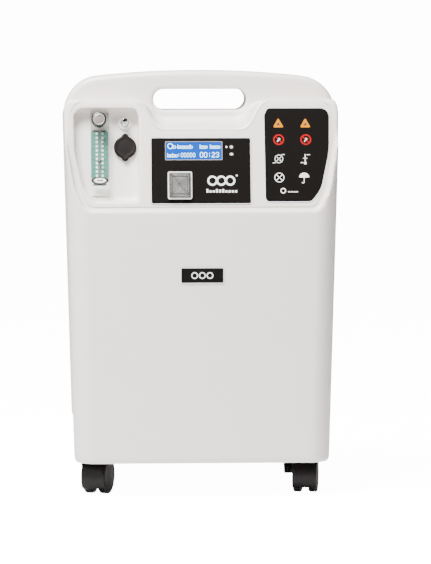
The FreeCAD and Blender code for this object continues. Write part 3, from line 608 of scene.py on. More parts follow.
def finish(name, colour, rough, metal=0.0, grain=1400.0, relief=0.05, vary=0.03, edge=0.25,
           coat=0.0, alpha=1.0, streak=None, specular=0.5):
    """Plastic, metal or rubber with fine grain, faint mottling and softened edges."""
    mat = bpy.data.materials.new(name)
    mat.use_nodes = True
    tree = mat.node_tree
    shader = tree.nodes["Principled BSDF"]
    place = tree.nodes.new("ShaderNodeTexCoord").outputs["Object"]
    if streak is not None:
        place = linked(tree, "ShaderNodeVectorMath", Vector=place)
        place.operation = "MULTIPLY"
        place.inputs[1].default_value = streak
        place = place.outputs[0]
    fine = linked(tree, "ShaderNodeTexNoise", Vector=place, Scale=grain, Detail=3.0)
    broad = linked(tree, "ShaderNodeTexNoise", Vector=place, Scale=14.0, Detail=2.0)
    mix = tree.nodes.new("ShaderNodeMix")
    mix.data_type = "RGBA"
    mix.inputs["A"].default_value = tuple(c * (1 - vary) for c in colour) + (1,)
    mix.inputs["B"].default_value = tuple(min(1.0, c * (1 + vary)) for c in colour) + (1,)
    tree.links.new(broad.outputs["Fac"], mix.inputs["Factor"])
    tree.links.new(mix.outputs["Result"], shader.inputs["Base Color"])
    spread = linked(tree, "ShaderNodeMapRange", Value=fine.outputs["Fac"], To_Min=max(0.02, rough - 0.06),
                    To_Max=min(1.0, rough + 0.06))
    tree.links.new(spread.outputs["Result"], shader.inputs["Roughness"])
    bump = linked(tree, "ShaderNodeBump", Strength=relief, Distance=0.0004, Height=fine.outputs["Fac"])
    if edge > 0:
        soft = linked(tree, "ShaderNodeBevel", Radius=edge * MM)
        soft.samples = 4
        tree.links.new(soft.outputs["Normal"], bump.inputs["Normal"])
    tree.links.new(bump.outputs["Normal"], shader.inputs["Normal"])
    shader.inputs["Metallic"].default_value = metal
    shader.inputs["Coat Weight"].default_value = coat
    shader.inputs["Coat Roughness"].default_value = 0.12
    shader.inputs["Alpha"].default_value = alpha
    shader.inputs["Specular IOR Level"].default_value = specular
    return mat


def glowing(mat, colour, strength):
    shader = mat.node_tree.nodes["Principled BSDF"]
    shader.inputs["Emission Color"].default_value = tuple(colour) + (1,)
    shader.inputs["Emission Strength"].default_value = strength
    return mat


cabinet_plastic = finish("cabinet_plastic", (0.86, 0.80, 0.75), 0.36, relief=0.10, vary=0.008, edge=0,
                         coat=0.08)
panel_black = finish("panel_black", (0.004, 0.003, 0.0025), 0.45, relief=0.12, vary=0.15, edge=0.2,
                     specular=0.09)
bezel_black = finish("bezel_black", (0.010, 0.009, 0.009), 0.45, relief=0.15, vary=0.15, specular=0.3)
print_white = finish("print_white", (0.86, 0.86, 0.84), 0.50, relief=0.04, vary=0.02, edge=0)
print_grey = finish("print_grey", (0.34, 0.33, 0.32), 0.50, relief=0.04, vary=0.02, edge=0)
print_black = finish("print_black", (0.015, 0.015, 0.015), 0.50, relief=0.04, vary=0.05, edge=0)
print_yellow = finish("print_yellow", (0.52, 0.19, 0.0), 0.60, relief=0.04, vary=0.03, edge=0, specular=0.1)
print_red = finish("print_red", (0.36, 0.002, 0.004), 0.60, relief=0.04, vary=0.03, edge=0, specular=0.1)
scale_teal = finish("scale_teal", (0.0, 0.18, 0.125), 0.42, relief=0.05, vary=0.06)
scale_dark = finish("scale_dark", (0.0, 0.12, 0.09), 0.42, relief=0.05, vary=0.06, edge=0)
acrylic = finish("acrylic", (0.62, 0.68, 0.65), 0.07, relief=0.01, vary=0.01, alpha=0.05,
                 specular=0.6, edge=0.5)
smoke = finish("smoke", (0.25, 0.24, 0.23), 0.22, relief=0.05, vary=0.03, alpha=0.22, edge=0.5)
rocker_grey = finish("rocker_grey", (0.30, 0.29, 0.275), 0.42, relief=0.1)
knob_black = finish("knob_black", (0.006, 0.0055, 0.005), 0.30, relief=0.08, vary=0.1)
knob_ring = finish("knob_ring", (0.62, 0.62, 0.60), 0.25, metal=0.6, relief=0.03, streak=(1.0, 1.0, 8.0))
knob_cap = finish("knob_cap", (0.27, 0.235, 0.21), 0.34, metal=0.35, relief=0.06, streak=(12.0, 1.0, 1.0))
white_ring = finish("white_ring", (0.86, 0.86, 0.85), 0.28, relief=0.04, vary=0.01)
chrome = finish("chrome", (0.80, 0.80, 0.80), 0.13, metal=1.0, relief=0.02, vary=0.02)
steel = finish("steel", (0.55, 0.55, 0.54), 0.34, metal=1.0, relief=0.08, streak=(1.0, 1.0, 10.0))
brass = finish("brass", (0.72, 0.52, 0.22), 0.28, metal=1.0, relief=0.05)
copper = finish("copper", (0.78, 0.36, 0.20), 0.30, metal=1.0, relief=0.06, vary=0.08)
aluminium = finish("aluminium", (0.68, 0.68, 0.69), 0.42, metal=1.0, grain=500.0, relief=0.18, vary=0.05)
galvanised = finish("galvanised", (0.58, 0.60, 0.61), 0.46, metal=0.9, grain=160.0, relief=0.08, vary=0.12)
canister_grey = finish("canister_grey", (0.55, 0.58, 0.60), 0.35, relief=0.06)
rubber = finish("rubber", (0.007, 0.005, 0.0045), 0.60, relief=0.25, vary=0.12, edge=0.3, specular=0.14)
ball_black = finish("ball_black", (0.006, 0.006, 0.006), 0.18, relief=0.01)
hood_black = finish("hood_black", (0.007, 0.005, 0.0045), 0.40, relief=0.18, vary=0.12, edge=0, specular=0.2)
wheel_black = finish("wheel_black", (0.014, 0.013, 0.013), 0.22, relief=0.05, vary=0.1, coat=0.8)
tread_grey = finish("tread_grey", (0.018, 0.017, 0.017), 0.55, relief=0.3, vary=0.1)
fan_black = finish("fan_black", (0.02, 0.02, 0.02), 0.42, relief=0.1)
board_green = finish("board_green", (0.02, 0.14, 0.06), 0.40, grain=600.0, relief=0.1, vary=0.15)
foam_grey = finish("foam_grey", (0.045, 0.045, 0.05), 0.95, grain=900.0, relief=1.0, vary=0.3)
silicone = finish("silicone", (0.66, 0.67, 0.64), 0.38, relief=0.05)
lamp_clear = finish("lamp_clear", (0.80, 0.84, 0.78), 0.20, relief=0.02)
pixel = glowing(finish("pixel", (0.55, 0.85, 0.95), 0.4, relief=0.0, edge=0), (0.50, 0.90, 1.0), 1.5)
emblem_white = finish("emblem_white", (0.86, 0.86, 0.85), 0.42, relief=0.04, vary=0.02, edge=0)

lcd_blue = finish("lcd_blue", (0.0, 0.05, 0.30), 0.30, relief=0.01, edge=0, specular=0.1)
tree = lcd_blue.node_tree
spot = linked(tree, "ShaderNodeSeparateXYZ", Vector=tree.nodes["Texture Coordinate"].outputs["Object"])
along = linked(tree, "ShaderNodeMapRange", Value=spot.outputs["X"], From_Min=-0.046, From_Max=0.028)
rise = linked(tree, "ShaderNodeMapRange", Value=spot.outputs["Z"], From_Min=0.423, From_Max=0.453)
fade = tree.nodes.new("ShaderNodeMath")
fade.operation = "MULTIPLY"
tree.links.new(along.outputs["Result"], fade.inputs[0])
tree.links.new(rise.outputs["Result"], fade.inputs[1])
glow = tree.nodes.new("ShaderNodeMix")
glow.data_type = "RGBA"
glow.inputs["A"].default_value = (0.0, 0.07, 0.42, 1)
glow.inputs["B"].default_value = (0.03, 0.10, 0.55, 1)
tree.links.new(fade.outputs[0], glow.inputs["Factor"])
tree.links.new(glow.outputs["Result"], tree.nodes["Principled BSDF"].inputs["Emission Color"])
tree.nodes["Principled BSDF"].inputs["Emission Strength"].default_value = 0.55


# ---- cabinet
def screw_places():
    return [(side * x, z) for x, z in SHELL_SCREWS for side in (-1, 1)]


def console_groove():
    """Fine groove that runs round the console face, a little inside its edge."""
    right = [(STEP_HALF - 4, STEP_Z + 3.4, 12), (STEP_BEND[0] - 4.5, STEP_Z + STEP_BEND[1] + 3, 60),
             (166.4, 452, 60), (166.6, BROW_Z - 3.2, 20), (79.0, BROW_Z - 3.2, 18), (58.0, LEDGE_Z - 3.6, 20)]
    left = [(-x, z, radius) for x, z, radius in reversed(right)]
    groove = Print(console, -1.1, 4.0)
    groove.border(rounded(right + left), 1.3)
    return outward(groove.pieces[0])


def cabinet_skins():
    """Front and rear mouldings, hollow, parted and cut for their fittings."""
    outside = moulded("skin", skin_field, (-182, -134, 38), (182, 134, 542), SKIN_STEP)
    cavity = moulded("cavity", cavity_field, (-180, -132, 28), (180, 132, 540), CAVITY_STEP)
    posts = solid_mesh([rod((x, -140, z), (x, 140, z), 6.0) for x, z in screw_places()])
    skin = combined(outside, combined(cavity, posts, "DIFFERENCE"), "DIFFERENCE")
    front = combined(skin, solid_mesh([block((-300, -300, -50), (300, SPLIT_Y - 0.2, 700))]), "INTERSECT")
    rear = combined(skin, solid_mesh([block((-300, SPLIT_Y + 0.2, -50), (300, 300, 700))]), "INTERSECT")
    pocket = [
        prism(rounded(rect(PANEL, 3, 0.3)), console, -1.2, 6),
        prism(rounded(rect((METER[0] + 4, METER[1] - 4, METER[2] + 3, METER[3] - 4), 1)), console, -30, -13),
        console_rod(OUTLET, 5.2, -30, 0),
        console_rod(PORT, 10.2, -30, 0),
    ] + [rod((x, -60 if z < 500 else -38, z), (x, SPLIT_Y + 1, z), 2.06) for x, z in screw_places()]
    front = combined(front, solid_mesh(pocket), "DIFFERENCE")
    front = combined(front, solid_mesh([console_groove()]), "DIFFERENCE")
    front = combined(front, solid_mesh([prism(rounded(rect(PANEL, 3, -4)), console, -30, 6)]), "DIFFERENCE")
    holes = [
        prism(rounded(rect(DOOR, 4, 0.4)), rear_face, -3.4, 5),
        prism(rounded(rect(VENT, 3, 0.3)), rear_face, -20, 5),
        prism(rounded(rect(INLET, 2, 0.2)), rear_face, -20, 5),
    ]
    for x, z in screw_places():
        bore = [(2.3, 0), (2.3, 9), (4.4, 9), (4.4, 60 if z > 500 else 160)]
        holes.append(outward(lathe(np.array([x, SPLIT_Y - 1, z]), (0, 1, 0), bore, 40)))
    rear = combined(rear, solid_mesh(holes), "DIFFERENCE")
    wells = [
        prism(rounded(rect(DOOR, 3, -6)), rear_face, -20, 5),
        prism(rounded(rect(INLET, 3, 4.3)), rear_face, -1.2, 5),
    ]
    rear = combined(rear, solid_mesh(wells), "DIFFERENCE")
    for mesh, node in ((front, "front_shell"), (rear, "rear_shell")):
        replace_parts(place_mesh(f"{node}_skin", mesh, "cabinet", "cabinet_plastic", cabinet_plastic), node)


cabinet_skins()


# ---- display panel
FONT = {
    "0": ["01110", "10001", "10001", "10001", "10001", "10001", "01110"],
    "2": ["01110", "10001", "00001", "00110", "01000", "10000", "11111"],
    "3": ["01110", "10001", "00001", "00110", "00001", "10001", "01110"],
    "8": ["01110", "10001", "10001", "01110", "10001", "10001", "01110"],
    ":": ["00000", "00100", "00100", "00000", "00100", "00100", "00000"],
}


def dot_matrix(marks, text, x, z, pitch_x, pitch_z, gap):
    """Digits from little square pixels, x and z at the lower left."""
    for number, letter in enumerate(text):
        for row, line in enumerate(FONT[letter]):
            for column, lit in enumerate(line):
                if lit == "1":
                    px = x + number * gap + column * pitch_x
                    pz = z + (6 - row) * pitch_z
                    marks.box(px, px + pitch_x * 0.94, pz, pz + pitch_z * 0.94)


def panel_marks():
    edge = console_print(PANEL_FRONT - 0.05, PANEL_FRONT + 0.12)
    edge.border(rounded(rect(PANEL, 3, 0.0)), 0.9)
    edge.build("panel_border", "white_plastic", print_white)
    lines = console_print(PANEL_FRONT - 0.05, PANEL_FRONT + 0.12)
    lines.arc(37.2, 442.1, 1.9, 0.75)
    lines.arc(37.2, 433.2, 1.5, 0.7, stretch=1.35)
    lines.dot(37.9, 433.2, 0.8)
    lines.build("lamp_icons", "white_plastic", print_grey)
    emblem = console_print(PANEL_FRONT - 0.05, PANEL_FRONT + 0.14)
    for x in (12.8, 24.0, 35.2):
        emblem.arc(x, 400.2, 5.3, 2.4)
    emblem.dot(43.6, 406.6, 1.2)
    for k, tall in enumerate((4.4, 2.9, 2.9, 4.4, 3.7, 4.4, 2.9, 2.9, 2.9, 2.9)):
        emblem.box(5.0 + 4.0 * k, 7.6 + 4.0 * k, 385.4, 385.4 + tall)
    emblem.build("emblem", "white_plastic", emblem_white)
    window = console_print(PANEL_FRONT - 1.5, PANEL_FRONT + 0.10)
    window.border(rounded(rect(LCD, 1, 0.0)), 0.6)
    window.build("lcd_rim", "grey_plastic", print_grey)


def lcd_marks():
    high, low = LCD[2] + 14.3, LCD[2] + 3.6
    marks = console_print(0.28, 0.42)
    marks.arc(-40.0, high + 3.2, 3.2, 1.0)
    marks.arc(-34.6, high + 2.0, 1.7, 0.7)
    for start, z, heights in ((-30.9, high, (5.2, 3.6, 3.6, 3.6, 3.6, 5.2)), (-2.7, high, (5.2, 3.6, 3.6)),
                              (10.3, high, (5.2, 3.6, 3.6, 3.6)), (-43.7, low, (5.2, 3.6, 5.2, 3.6))):
        for k, tall in enumerate(heights):
            x = start + 3.15 * k
            marks.arc(x + 1.7, z + 1.8, 1.5, 0.75)
            marks.box(x, x + 0.7, z, z + tall)
    dot_matrix(marks, ":", -30.6, low, 0.55, 0.8, 3)
    dot_matrix(marks, "00000", -26.6, low, 0.62, 0.8, 3.75)
    dot_matrix(marks, "00:23", -2.6, low - 0.4, 0.85, 0.98, 5.0)
    marks.build("lcd_pixels", "lcd", pixel)


panel_marks()
lcd_marks()


# ---- power switch
def switch_pieces():
    frame_line = console_print(0.75, 3.5)
    frame_line.border(rounded(rect(SWITCH, 2, 0.15)), 1.5)
    frame_line.build("switch_frame", "white_plastic", print_white)
    boot = outward(lofted_plate(rounded(rect(SWITCH, 2, -2.2)), console, [
        (3.4, 7.6), (2.2, 7.5), (1.5, 7.1), (1.1, 6.4), (1.0, 5.6), (1.0, 3.25),
        (0.0, 3.25), (0.0, 6.0), (0.15, 7.0), (0.6, 7.9), (1.4, 8.4), (3.0, 8.6)]))
    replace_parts(new_object("switch_boot", *boot, "cabinet", "clear_plastic", smoke), "switch_cover")
    x0, x1, z0, z1 = SWITCH[0] + 4.3, SWITCH[1] - 3.7, SWITCH[2] + 3.0, SWITCH[3] - 2.8
    bars = console_print(3.1, 4.3)
    bars.box(x0, x1, z1 - 2.0, z1)
    bars.box(x0, x1, z0, z0 + 2.1)
    bars.box(x0, x0 + 0.8, z0 + 2.1, z1 - 2.0)
    bars.box(x1 - 0.8, x1, z0 + 2.1, z1 - 2.0)
    bars.build("switch_rim", "grey_plastic", rocker_grey)


def rocker_place(x, a, b):
    """Point on the rocker: a up along it and b out of it, turned with its tilt."""
    centre = console((ROCKER[0] + ROCKER[1]) / 2, (ROCKER[2] + ROCKER[3]) / 2, 0.5)
    tilt = math.radians(9.0)
    up = UP * math.cos(tilt) + OUT * math.sin(tilt)
    out = OUT * math.cos(tilt) - UP * math.sin(tilt)
    return centre + np.array([x - centre[0], 0, 0]) + up * a + out * b


def rocker_pieces():
    """V-topped rocker with ribs across its two faces."""
    half = (ROCKER[3] - ROCKER[2]) / 2 - 0.6
    x0, x1 = ROCKER[:2]
    section = rounded([(-half + 3, -7, 1), (half - 3, -7, 1), (half, 3.4, 1.2),
                       (0, 0.7, 12), (-half, 3.4, 1.2)], 0.4)
    rings = [np.array([rocker_place(x, a, b) for a, b in inset(section, d)])
             for x, d in ((x0 + 0.2, 0.5), (x0 + 0.6, 0.0), (x1 - 0.6, 0.0), (x1 - 0.2, 0.5))]
    body = outward(loft(rings))
    ribs = []
    for k in range(5):
        x = x0 + 1.6 + 3.25 * k
        for low, high in ((2.2, half - 1.6), (-half + 1.6, -2.2)):
            ring = []
            for a in np.linspace(low, high, 5):
                top = 0.9 + abs(a) / half * 2.6
                ring.append((a, top))
            base = [(a, b - 1.0) for a, b in reversed(ring)]
            side = ring + base
            strip = [np.array([rocker_place(xx, a, b + 0.35) for a, b in side]) for xx in (x, x + 1.7)]
            ribs.append(outward(loft(strip)))
    points, faces = merged([body] + ribs)
    obj = new_object("rocker_ribbed", points, faces, "power_rocker", "grey_plastic", rocker_grey)
    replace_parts(obj, "switch_rocker")
    mark = Print(rocker_place, 1.3, 2.05)
    mark.arc(-28.25, -4.6, 1.5, 0.6)
    mark.build("rocker_mark", "white_plastic", print_white, "power_rocker")


switch_pieces()
rocker_pieces()


# ---- symbol label and badge
def label_marks():
    grown = [(x + (LABEL_GROW if x > 120 else -LABEL_GROW), z + (LABEL_GROW if z > 430 else -LABEL_GROW), r)
             for x, z, r in WING]
    top = LABEL_TOP
    edge = console_print(top - 0.05, top + 0.10)
    edge.border(rounded(grown), 0.9)
    edge.build("label_border", "white_plastic", print_white)
    yellow = console_print(top - 0.05, top + 0.12)
    dark = console_print(top + 0.08, top + 0.18)
    for x in (97.0, 131.2):
        a, b, c = (x - 6.9, 466.6), (x + 6.9, 466.6), (x, 478.6)
        yellow.poly(rounded([(*a, 1.2), (*b, 1.2), (*c, 1.2)], 0.4))
        dark.dot(x, 470.6, 1.5)
    yellow.build("label_yellow", "black_panel", print_yellow)
    dark.build("label_dark", "black_panel", print_black)
    red = console_print(top - 0.05, top + 0.12)
    for x in (97.2, 131.6):
        red.arc(x, 451.3, 6.1, 1.9)
        red.bar((x - 4.2, 455.4), (x + 4.2, 447.2), 1.5)
    red.build("label_red", "black_panel", print_red)
    pale = console_print(top - 0.05, top + 0.12)
    for x in (97.2, 131.6):
        pale.dot(x + 0.4, 451.9, 1.5)
        pale.bar((x - 1.8, 448.6), (x - 0.6, 450.6), 1.2)
    pale.arc(97.1, 427.3, 5.0, 0.8)
    pale.bar((94.4, 425.0), (99.8, 429.6), 0.8)
    pale.dot(95.4, 429.0, 0.9)
    pale.dot(98.8, 425.6, 0.9)
    for x0, x1, z in ((89.2, 92.6, 422.4), (100.6, 104.4, 432.6)):
        pale.bar((x0, z), (x1, z), 0.8)
    pale.bar((130.4, 422.6), (130.4, 433.2), 1.1)
    pale.dot(130.4, 421.8, 1.7)
    for x0, x1, z in ((124.6, 128.4, 422.6), (132.4, 136.6, 432.4)):
        pale.bar((x0, z), (x1, z), 0.8)
    pale.bar((127.6, 428.0), (133.2, 428.0), 0.7)
    pale.arc(97.3, 404.0, 5.8, 0.9)
    pale.bar((93.6, 400.4), (101.0, 407.6), 0.9)
    pale.bar((101.0, 400.4), (93.6, 407.6), 0.9)
    for k in range(9):
        radius = 6.1 - 0.68 * k
        pale.arc(128.7, 403.8, radius, 0.72, 4, 176)
    pale.bar((128.7, 398.2), (128.7, 404.0), 0.9)
    pale.arc(127.4, 398.2, 1.3, 0.8, 180, 360)
    pale.arc(102.0, 387.6, 2.9, 1.3)
    for k in range(4):
        pale.bar((108.0 + 3.4 * k, 386.2), (110.4 + 3.4 * k, 386.2), 1.3)
    pale.build("label_pale", "white_plastic", print_white)


def badge_marks():
    face = Print(front_face, 0.82, 0.97)
    face.border(rounded(rect(BADGE, 2, 0.0)), 0.7)
    for x in (-9.6, 0.0, 9.6):
        face.arc(x - 0.8, 282.0, 3.6, 1.4)
    face.build("badge_marks", "white_plastic", print_white)


label_marks()
badge_marks()


# ---- flow meter
def meter_pieces():
    x0, x1 = METER[0] + 1, METER[1] - 1
    ticks = console_print(-13.95, -13.75)
    for k in range(11):
        z = TUBE_Z[0] + 2.2 + 5.28 * k
        for x in (-132.4, -125.2):
            ticks.box(x - 1.3, x + 1.3, z - 1.4, z + 1.4)
    ticks.build("scale_dots", "white_plastic", print_white)
    rungs = console_print(-13.95, -13.8)
    for k in range(9):
        z = TUBE_Z[0] + 3.4 + 6.3 * k
        rungs.bar((x0 + 0.6, z), (-134.0, z), 0.9)
        rungs.bar((-123.6, z), (x1 - 0.6, z), 0.9)
    rungs.box(-130.2, -127.3, TUBE_Z[0] + 0.4, TUBE_Z[1] - 0.4)
    rungs.build("scale_rungs", "teal_scale", scale_dark)
    oval_x = -128.7
    oval_ring = console_print(-2.3, -1.85)
    oval_ring.arc(oval_x, OVAL_Z, 4.0, 1.5, stretch=2.35)
    oval_ring.build("oval_ring", "black_panel", print_black)
    oval = console_print(-2.3, -1.9)
    angles = np.arange(36) * 2 * math.pi / 36
    oval.poly([(oval_x + 7.9 * math.cos(t), OVAL_Z + 3.2 * math.sin(t)) for t in angles])
    oval.build("oval_plate", "white_plastic", print_white)
    marks = console_print(-1.95, -1.80)
    marks.bar((-132.6, OVAL_Z), (-124.8, OVAL_Z), 0.8)
    marks.dot(-130.6, OVAL_Z, 1.0)
    marks.dot(-126.8, OVAL_Z, 1.0)
    marks.build("oval_marks", "black_panel", print_black)
    head_rect = (METER[0] + 0.6, METER[1] - 0.6, TUBE_Z[1] + 1.6, METER[3] - 0.6)
    head = prism(rounded(rect(head_rect, 1)), console, -13.7, -12.2)
    new_object("meter_head", *head, "cabinet", "grey_plastic", rocker_grey, smooth=False)
    foot_rect = (x0, x1, METER[2] + 1.1, METER[2] + 13.6)
    foot = prism(rounded(rect(foot_rect, 1)), console, -13.7, -13.0)
    new_object("meter_foot", *foot, "cabinet", "white_plastic", white_ring, smooth=False)


def knob_pieces():
    centre = console(*KNOB, 0.0)

    def flute(radius, angle, index):
        return radius - (0.45 * max(0.0, math.cos(18 * angle)) ** 2 if 1 <= index <= 4 else 0.0)
    profile = [(2.6, -21), (2.6, -1.6), (9.0, -1.6), (9.6, -1.1), (9.6, 5.4), (9.3, 6.3),
               (8.6, 6.9), (7.8, 7.0), (7.6, 6.6), (7.6, 6.3)]
    grip = outward(lathe(centre, OUT, profile, 216, flute))
    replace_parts(new_object("knob_grip", *grip, "flow_control", "grey_plastic", knob_black), "flow_knob")
    profile = [(7.5, 6.4), (7.5, 7.2), (7.2, 7.5), (6.7, 7.5), (6.4, 7.2), (6.4, 6.4)]
    ring = outward(ring_lathe(centre, OUT, profile, 96))
    new_object("knob_ring", *ring, "flow_control", "chrome", knob_ring)
    cap = outward(lathe(centre, OUT, [(6.3, 6.35), (6.3, 6.8), (6.0, 7.0), (3.6, 7.15), (1.0, 7.2)], 72))
    new_object("knob_cap", *cap, "flow_control", "grey_plastic", knob_cap)
    pointer = console_print(7.05, 7.25)
    pointer.arc(KNOB[0], KNOB[1], 4.3, 1.2, 48, 132)
    pointer.build("knob_pointer", "black_panel", print_black, "flow_control")


def outlet_pieces():
    centre = console(*OUTLET, 0.0)
    profile = [(8.6, -18.9), (8.6, -17.2), (8.2, -16.3), (7.4, -15.9), (6.2, -15.9),
               (5.5, -16.4), (5.2, -17.2), (5.2, -18.9)]
    ring = outward(ring_lathe(centre, OUT, profile, 96))
    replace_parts(new_object("outlet_ring", *ring, "cabinet", "white_plastic", white_ring), "outlet_bezel")
    profile = [(5.0, -34), (5.0, -16.2), (4.6, -15.4), (3.6, -15.0), (3.1, -14.6), (3.1, -2.1),
               (2.9, -1.6), (2.5, -1.5), (2.0, -1.6), (1.7, -2.0), (1.7, -34)]
    tube = outward(ring_lathe(centre, OUT, profile, 72))
    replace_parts(new_object("outlet_tube", *tube, "cabinet", "chrome", chrome), "outlet_nozzle")


def cap_outline(grow):
    """Round cap with an ear above and below, as distances along its plane."""
    points = []
    for k in range(160):
        angle = 2 * math.pi * k / 160
        low, high = 5.0, 24.0
        for _ in range(24):
            r = (low + high) / 2
            x, z = r * math.cos(angle), r * math.sin(angle)
            disc = math.hypot(x, z) - 14.3
            ear = math.hypot(x, abs(z) - 13.3) - 4.5
            if float(round_join(disc, ear, 1.2)) < grow:
                low = r
            else:
                high = r
        points.append((low * math.cos(angle), low * math.sin(angle)))
    return np.array(points)


def port_pieces():
    centre = console(*PORT, 0.0)

    def place(a, b, lift):
        return centre + np.array([a, 0, 0]) + UP * b + OUT * lift
    rings = [np.array([place(a, b, lift) for a, b in cap_outline(grow)])
             for grow, lift in ((-0.9, -18.7), (-0.1, -18.4), (0.0, -17.6), (0.0, -14.8), (-0.35, -13.8),
                                (-1.2, -13.1), (-2.4, -12.9), (-3.4, -13.1), (-3.9, -13.3),
                                (-6.0, -13.2), (-9.5, -13.0))]
    face = outward(loft(rings))
    spigot = outward(lathe(centre, OUT, [(8.0, -28), (9.0, -27), (9.0, -18.2)], 48))
    points, faces = merged([face, spigot])
    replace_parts(new_object("port_cap_moulded", points, faces, "cap", "black_rubber", rubber), "port_cap")


meter_pieces()
knob_pieces()
outlet_pieces()
port_pieces()


# ---- casters
WHEEL_R, TRAIL, WEB, REACH, HOOD_R = 23.0, 5.0, 3.5, 16.0, 26.4
TURNED_R = 25.4


def hood_field(x, y, z):
    """Hood over two wheels: rounded drum, cut open below and behind, with a web and a stem socket."""
    around = np.hypot(y - TRAIL, z - WHEEL_R)
    drum = round_meet(around - HOOD_R, np.abs(x) - REACH, 3.2)
    bay = np.maximum(around - WHEEL_R - 0.8, WEB - np.abs(x))
    tilt = math.atan2(14.0, 65.0)
    bend_y, bend_z = TRAIL - 2, WHEEL_R - 8
    rear_cut = (y - bend_y) * math.cos(tilt) - (z - bend_z) * math.sin(tilt)
    drop = math.atan2(bend_z - 3.5, bend_y + 30)
    low_cut = -(z - bend_z) * math.cos(drop) + (y - bend_y) * math.sin(drop)
    fender = round_meet(round_meet(drum, -bay, 0.7), round_meet(rear_cut, low_cut, 5.0), 1.2)
    web = round_meet(np.maximum(around - WHEEL_R - 2.0, 8.0 - z), np.abs(x) - WEB, 0.6)
    socket = round_meet(np.hypot(x, y) - 7.5, np.maximum(34.0 - z, z - 54.0), 0.8)
    socket = np.maximum(socket, -bay)
    fender = np.maximum(fender, np.minimum(np.hypot(x, y) - TURNED_R, z - SKIRT_Z + 1))
    body = round_join(round_join(fender, web, 1.0), socket, 2.0)
    body = np.maximum(body, -bay)
    body = round_meet(body, np.minimum(1e3, 4.1 - np.hypot(x, y)) + np.where(z > 31.9, 0.0, -1e3), 0.2)
    return np.maximum(body, 3.1 - around)


def wheel_profile():
    inner, outer = WEB + 0.8, REACH
    rim = WHEEL_R
    return [(3.1, inner), (rim - 2.0, inner), (rim - 0.4, inner + 0.7), (rim, inner + 2.0),
            (rim, outer - 2.4), (rim - 0.5, outer - 1.2), (rim - 1.6, outer - 0.6),
            (rim - 3.0, outer - 0.5), (rim - 3.5, outer - 0.9), (rim - 4.0, outer - 0.5),
            (14.0, outer - 0.2), (7.0, outer - 0.05), (0.6, outer)]


CASTERS = {"front_left": (-133.0, -86.0, -18.0), "front_right": (133.0, -86.0, -9.0),
           "rear_left": (-133.0, 86.0, -12.0), "rear_right": (133.0, 86.0, -4.0)}


def caster_pieces():
    low, high = (-19.0, -25.0, 0.0), (19.0, 35.0, 57.0)
    points, quads = surface_nets(hood_field, low, high, 0.8)
    points = settle(hood_field, points, cap=0.3)
    for corner, (x, y, yaw) in CASTERS.items():
        turn = Matrix.Rotation(math.radians(yaw), 3, "Z")
        spin = np.array(turn)
        place = np.array([x, y, 0.0])
        hood = quad_mesh(f"{corner}_hood_moulded", points @ spin.T + place, quads)
        hood = place_mesh(f"{corner}_hood_moulded", hood, f"{corner}_swivel", "black_plastic", hood_black)
        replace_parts(hood, f"caster_{corner}_hood")
        centre = place + spin @ np.array([0.0, TRAIL, WHEEL_R])
        wheels, body = [], f"{corner}_wheelset"
        for side in (-1, 1):
            wheels.append(outward(lathe(centre, spin @ np.array([side, 0.0, 0.0]), wheel_profile(), 96)))
        obj = new_object(f"{corner}_wheels_turned", *merged(wheels), body, "wheel_plastic", wheel_black)
        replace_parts(obj, f"caster_{corner}_wheels")
        band = [ring_lathe(centre, spin @ np.array([side, 0.0, 0.0]),
                           [(WHEEL_R - 0.6, WEB + 3.0), (WHEEL_R, WEB + 3.2), (WHEEL_R, REACH - 3.2),
                            (WHEEL_R - 0.6, REACH - 3.0)], 96)
                for side in (-1, 1)]
        tread = merged([outward(b) for b in band])
        new_object(f"{corner}_tread", *tread, body, "wheel_plastic", tread_grey)


caster_pieces()


# ---- finishes on the remaining CAD pieces
PAINT = [
    (steel, "shell_screws compressor_springs"),
    (panel_black, "display_fascia symbol_label badge_plate"),
    (lcd_blue, "lcd_module"),
    (board_green, "display_board control_board"),
    (lamp_clear, "indicator_leds"),
    (bezel_black, "switch_body power_inlet base_pan"),
    (acrylic, "flowmeter_body"),
    (scale_teal, "flowmeter_scale"),
    (ball_black, "flowmeter_ball"),
    (cabinet_plastic, "filter_door vent_grille"),
    (foam_grey, "filter_foam"),
    (brass, "inlet_pins pressure_regulator"),
    (galvanised, "sound_box electronics_tray power_supply"),
    (aluminium, "compressor_body compressor_heads valve_block run_capacitor sieve_bed_left sieve_bed_right"),
    (fan_black, "fan_frame fan_rotor intake_filter"),
    (canister_grey, "product_tank exhaust_muffler"),
    (copper, "heat_exchanger"),
    (silicone, "hose_set"),
] + [(steel, f"caster_{corner}_stem caster_{corner}_axle") for corner in CASTERS]
for material, names in PAINT:
    for name in names.split():
        nodes[name].data.materials.clear()
        nodes[name].data.materials.append(material)

# ---- floor, light, camera
FLOOR_HALF = 8.0
FLOOR_GLOW = 0.06
FLOOR_SEEN = 14.0
WORLD_GLOW = 0.07


def white_to_camera(tree, glow, socket):
    """Faint glow for the scene, which the camera sees as plain white."""
    ray = linked(tree, "ShaderNodeLightPath")
    level = linked(tree, "ShaderNodeMapRange", Value=ray.outputs["Is Camera Ray"], To_Min=glow,
                   To_Max=FLOOR_SEEN)
    tree.links.new(level.outputs["Result"], socket)


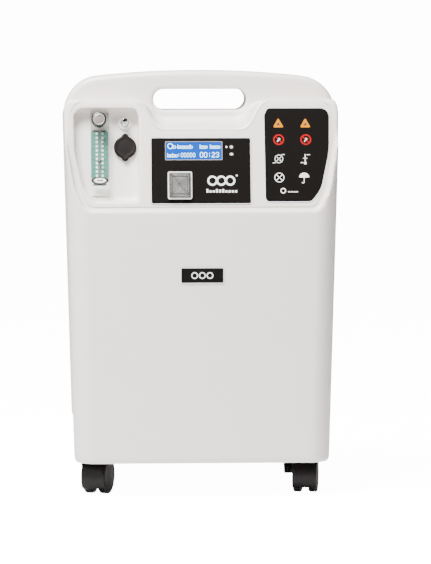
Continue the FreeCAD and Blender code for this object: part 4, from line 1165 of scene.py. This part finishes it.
def open_floor():
    """Flat pale floor, open on every side, so that it hides no view of the object."""
    points = [(x, y, 0.0) for y in (-FLOOR_HALF, FLOOR_HALF) for x in (-FLOOR_HALF, FLOOR_HALF)]
    faces = [(0, 1, 3, 2)]
    mesh = bpy.data.meshes.new("floor")
    mesh.from_pydata(points, [], faces)
    mesh.polygons.foreach_set("use_smooth", np.ones(len(mesh.polygons), bool))
    mat = finish("floor_paper", (0.90, 0.90, 0.90), 0.75, grain=40.0, relief=0.02, vary=0.004, edge=0,
                 specular=0.2)
    glowing(mat, (1.0, 1.0, 1.0), FLOOR_GLOW)
    shader = mat.node_tree.nodes["Principled BSDF"]
    white_to_camera(mat.node_tree, FLOOR_GLOW, shader.inputs["Emission Strength"])
    mesh.materials.append(mat)
    obj = bpy.data.objects.new("floor", mesh)
    bpy.context.scene.collection.objects.link(obj)


def soft_light(name, place, size, power, target=(0.0, 0.0, 0.28)):
    data = bpy.data.lights.new(name, "AREA")
    data.shape, data.size, data.energy = "SQUARE", size, power
    obj = bpy.data.objects.new(name, data)
    bpy.context.scene.collection.objects.link(obj)
    obj.location = place
    obj.rotation_euler = (Vector(target) - Vector(place)).to_track_quat("-Z", "Y").to_euler()


open_floor()
soft_light("key", (-2.1, -1.7, 1.0), 1.0, 22.0)
soft_light("fill", (0.1, -3.4, 0.6), 1.4, 6.0)
soft_light("overhead", (-0.6, -0.8, 2.2), 0.9, 190.0, (0.0, 0.0, 0.42))
world = bpy.data.worlds.new("studio")
world.use_nodes = True
world.node_tree.nodes["Background"].inputs["Color"].default_value = (1, 1, 1, 1)
white_to_camera(world.node_tree, WORLD_GLOW, world.node_tree.nodes["Background"].inputs["Strength"])
bpy.context.scene.world = world

camera = bpy.data.objects.new("camera", bpy.data.cameras.new("camera"))
bpy.context.scene.collection.objects.link(camera)
camera.data.lens = 206.6
camera.data.sensor_width = 36.0
camera.data.clip_end = 50.0
camera.location = (-0.1817, -4.1831, 0.5995)
yaw, pitch = math.radians(2.79), math.radians(-4.59)
sight = Vector((math.sin(yaw) * math.cos(pitch), math.cos(yaw) * math.cos(pitch), math.sin(pitch)))
camera.rotation_euler = sight.to_track_quat("-Z", "Y").to_euler()
bpy.context.scene.camera = camera
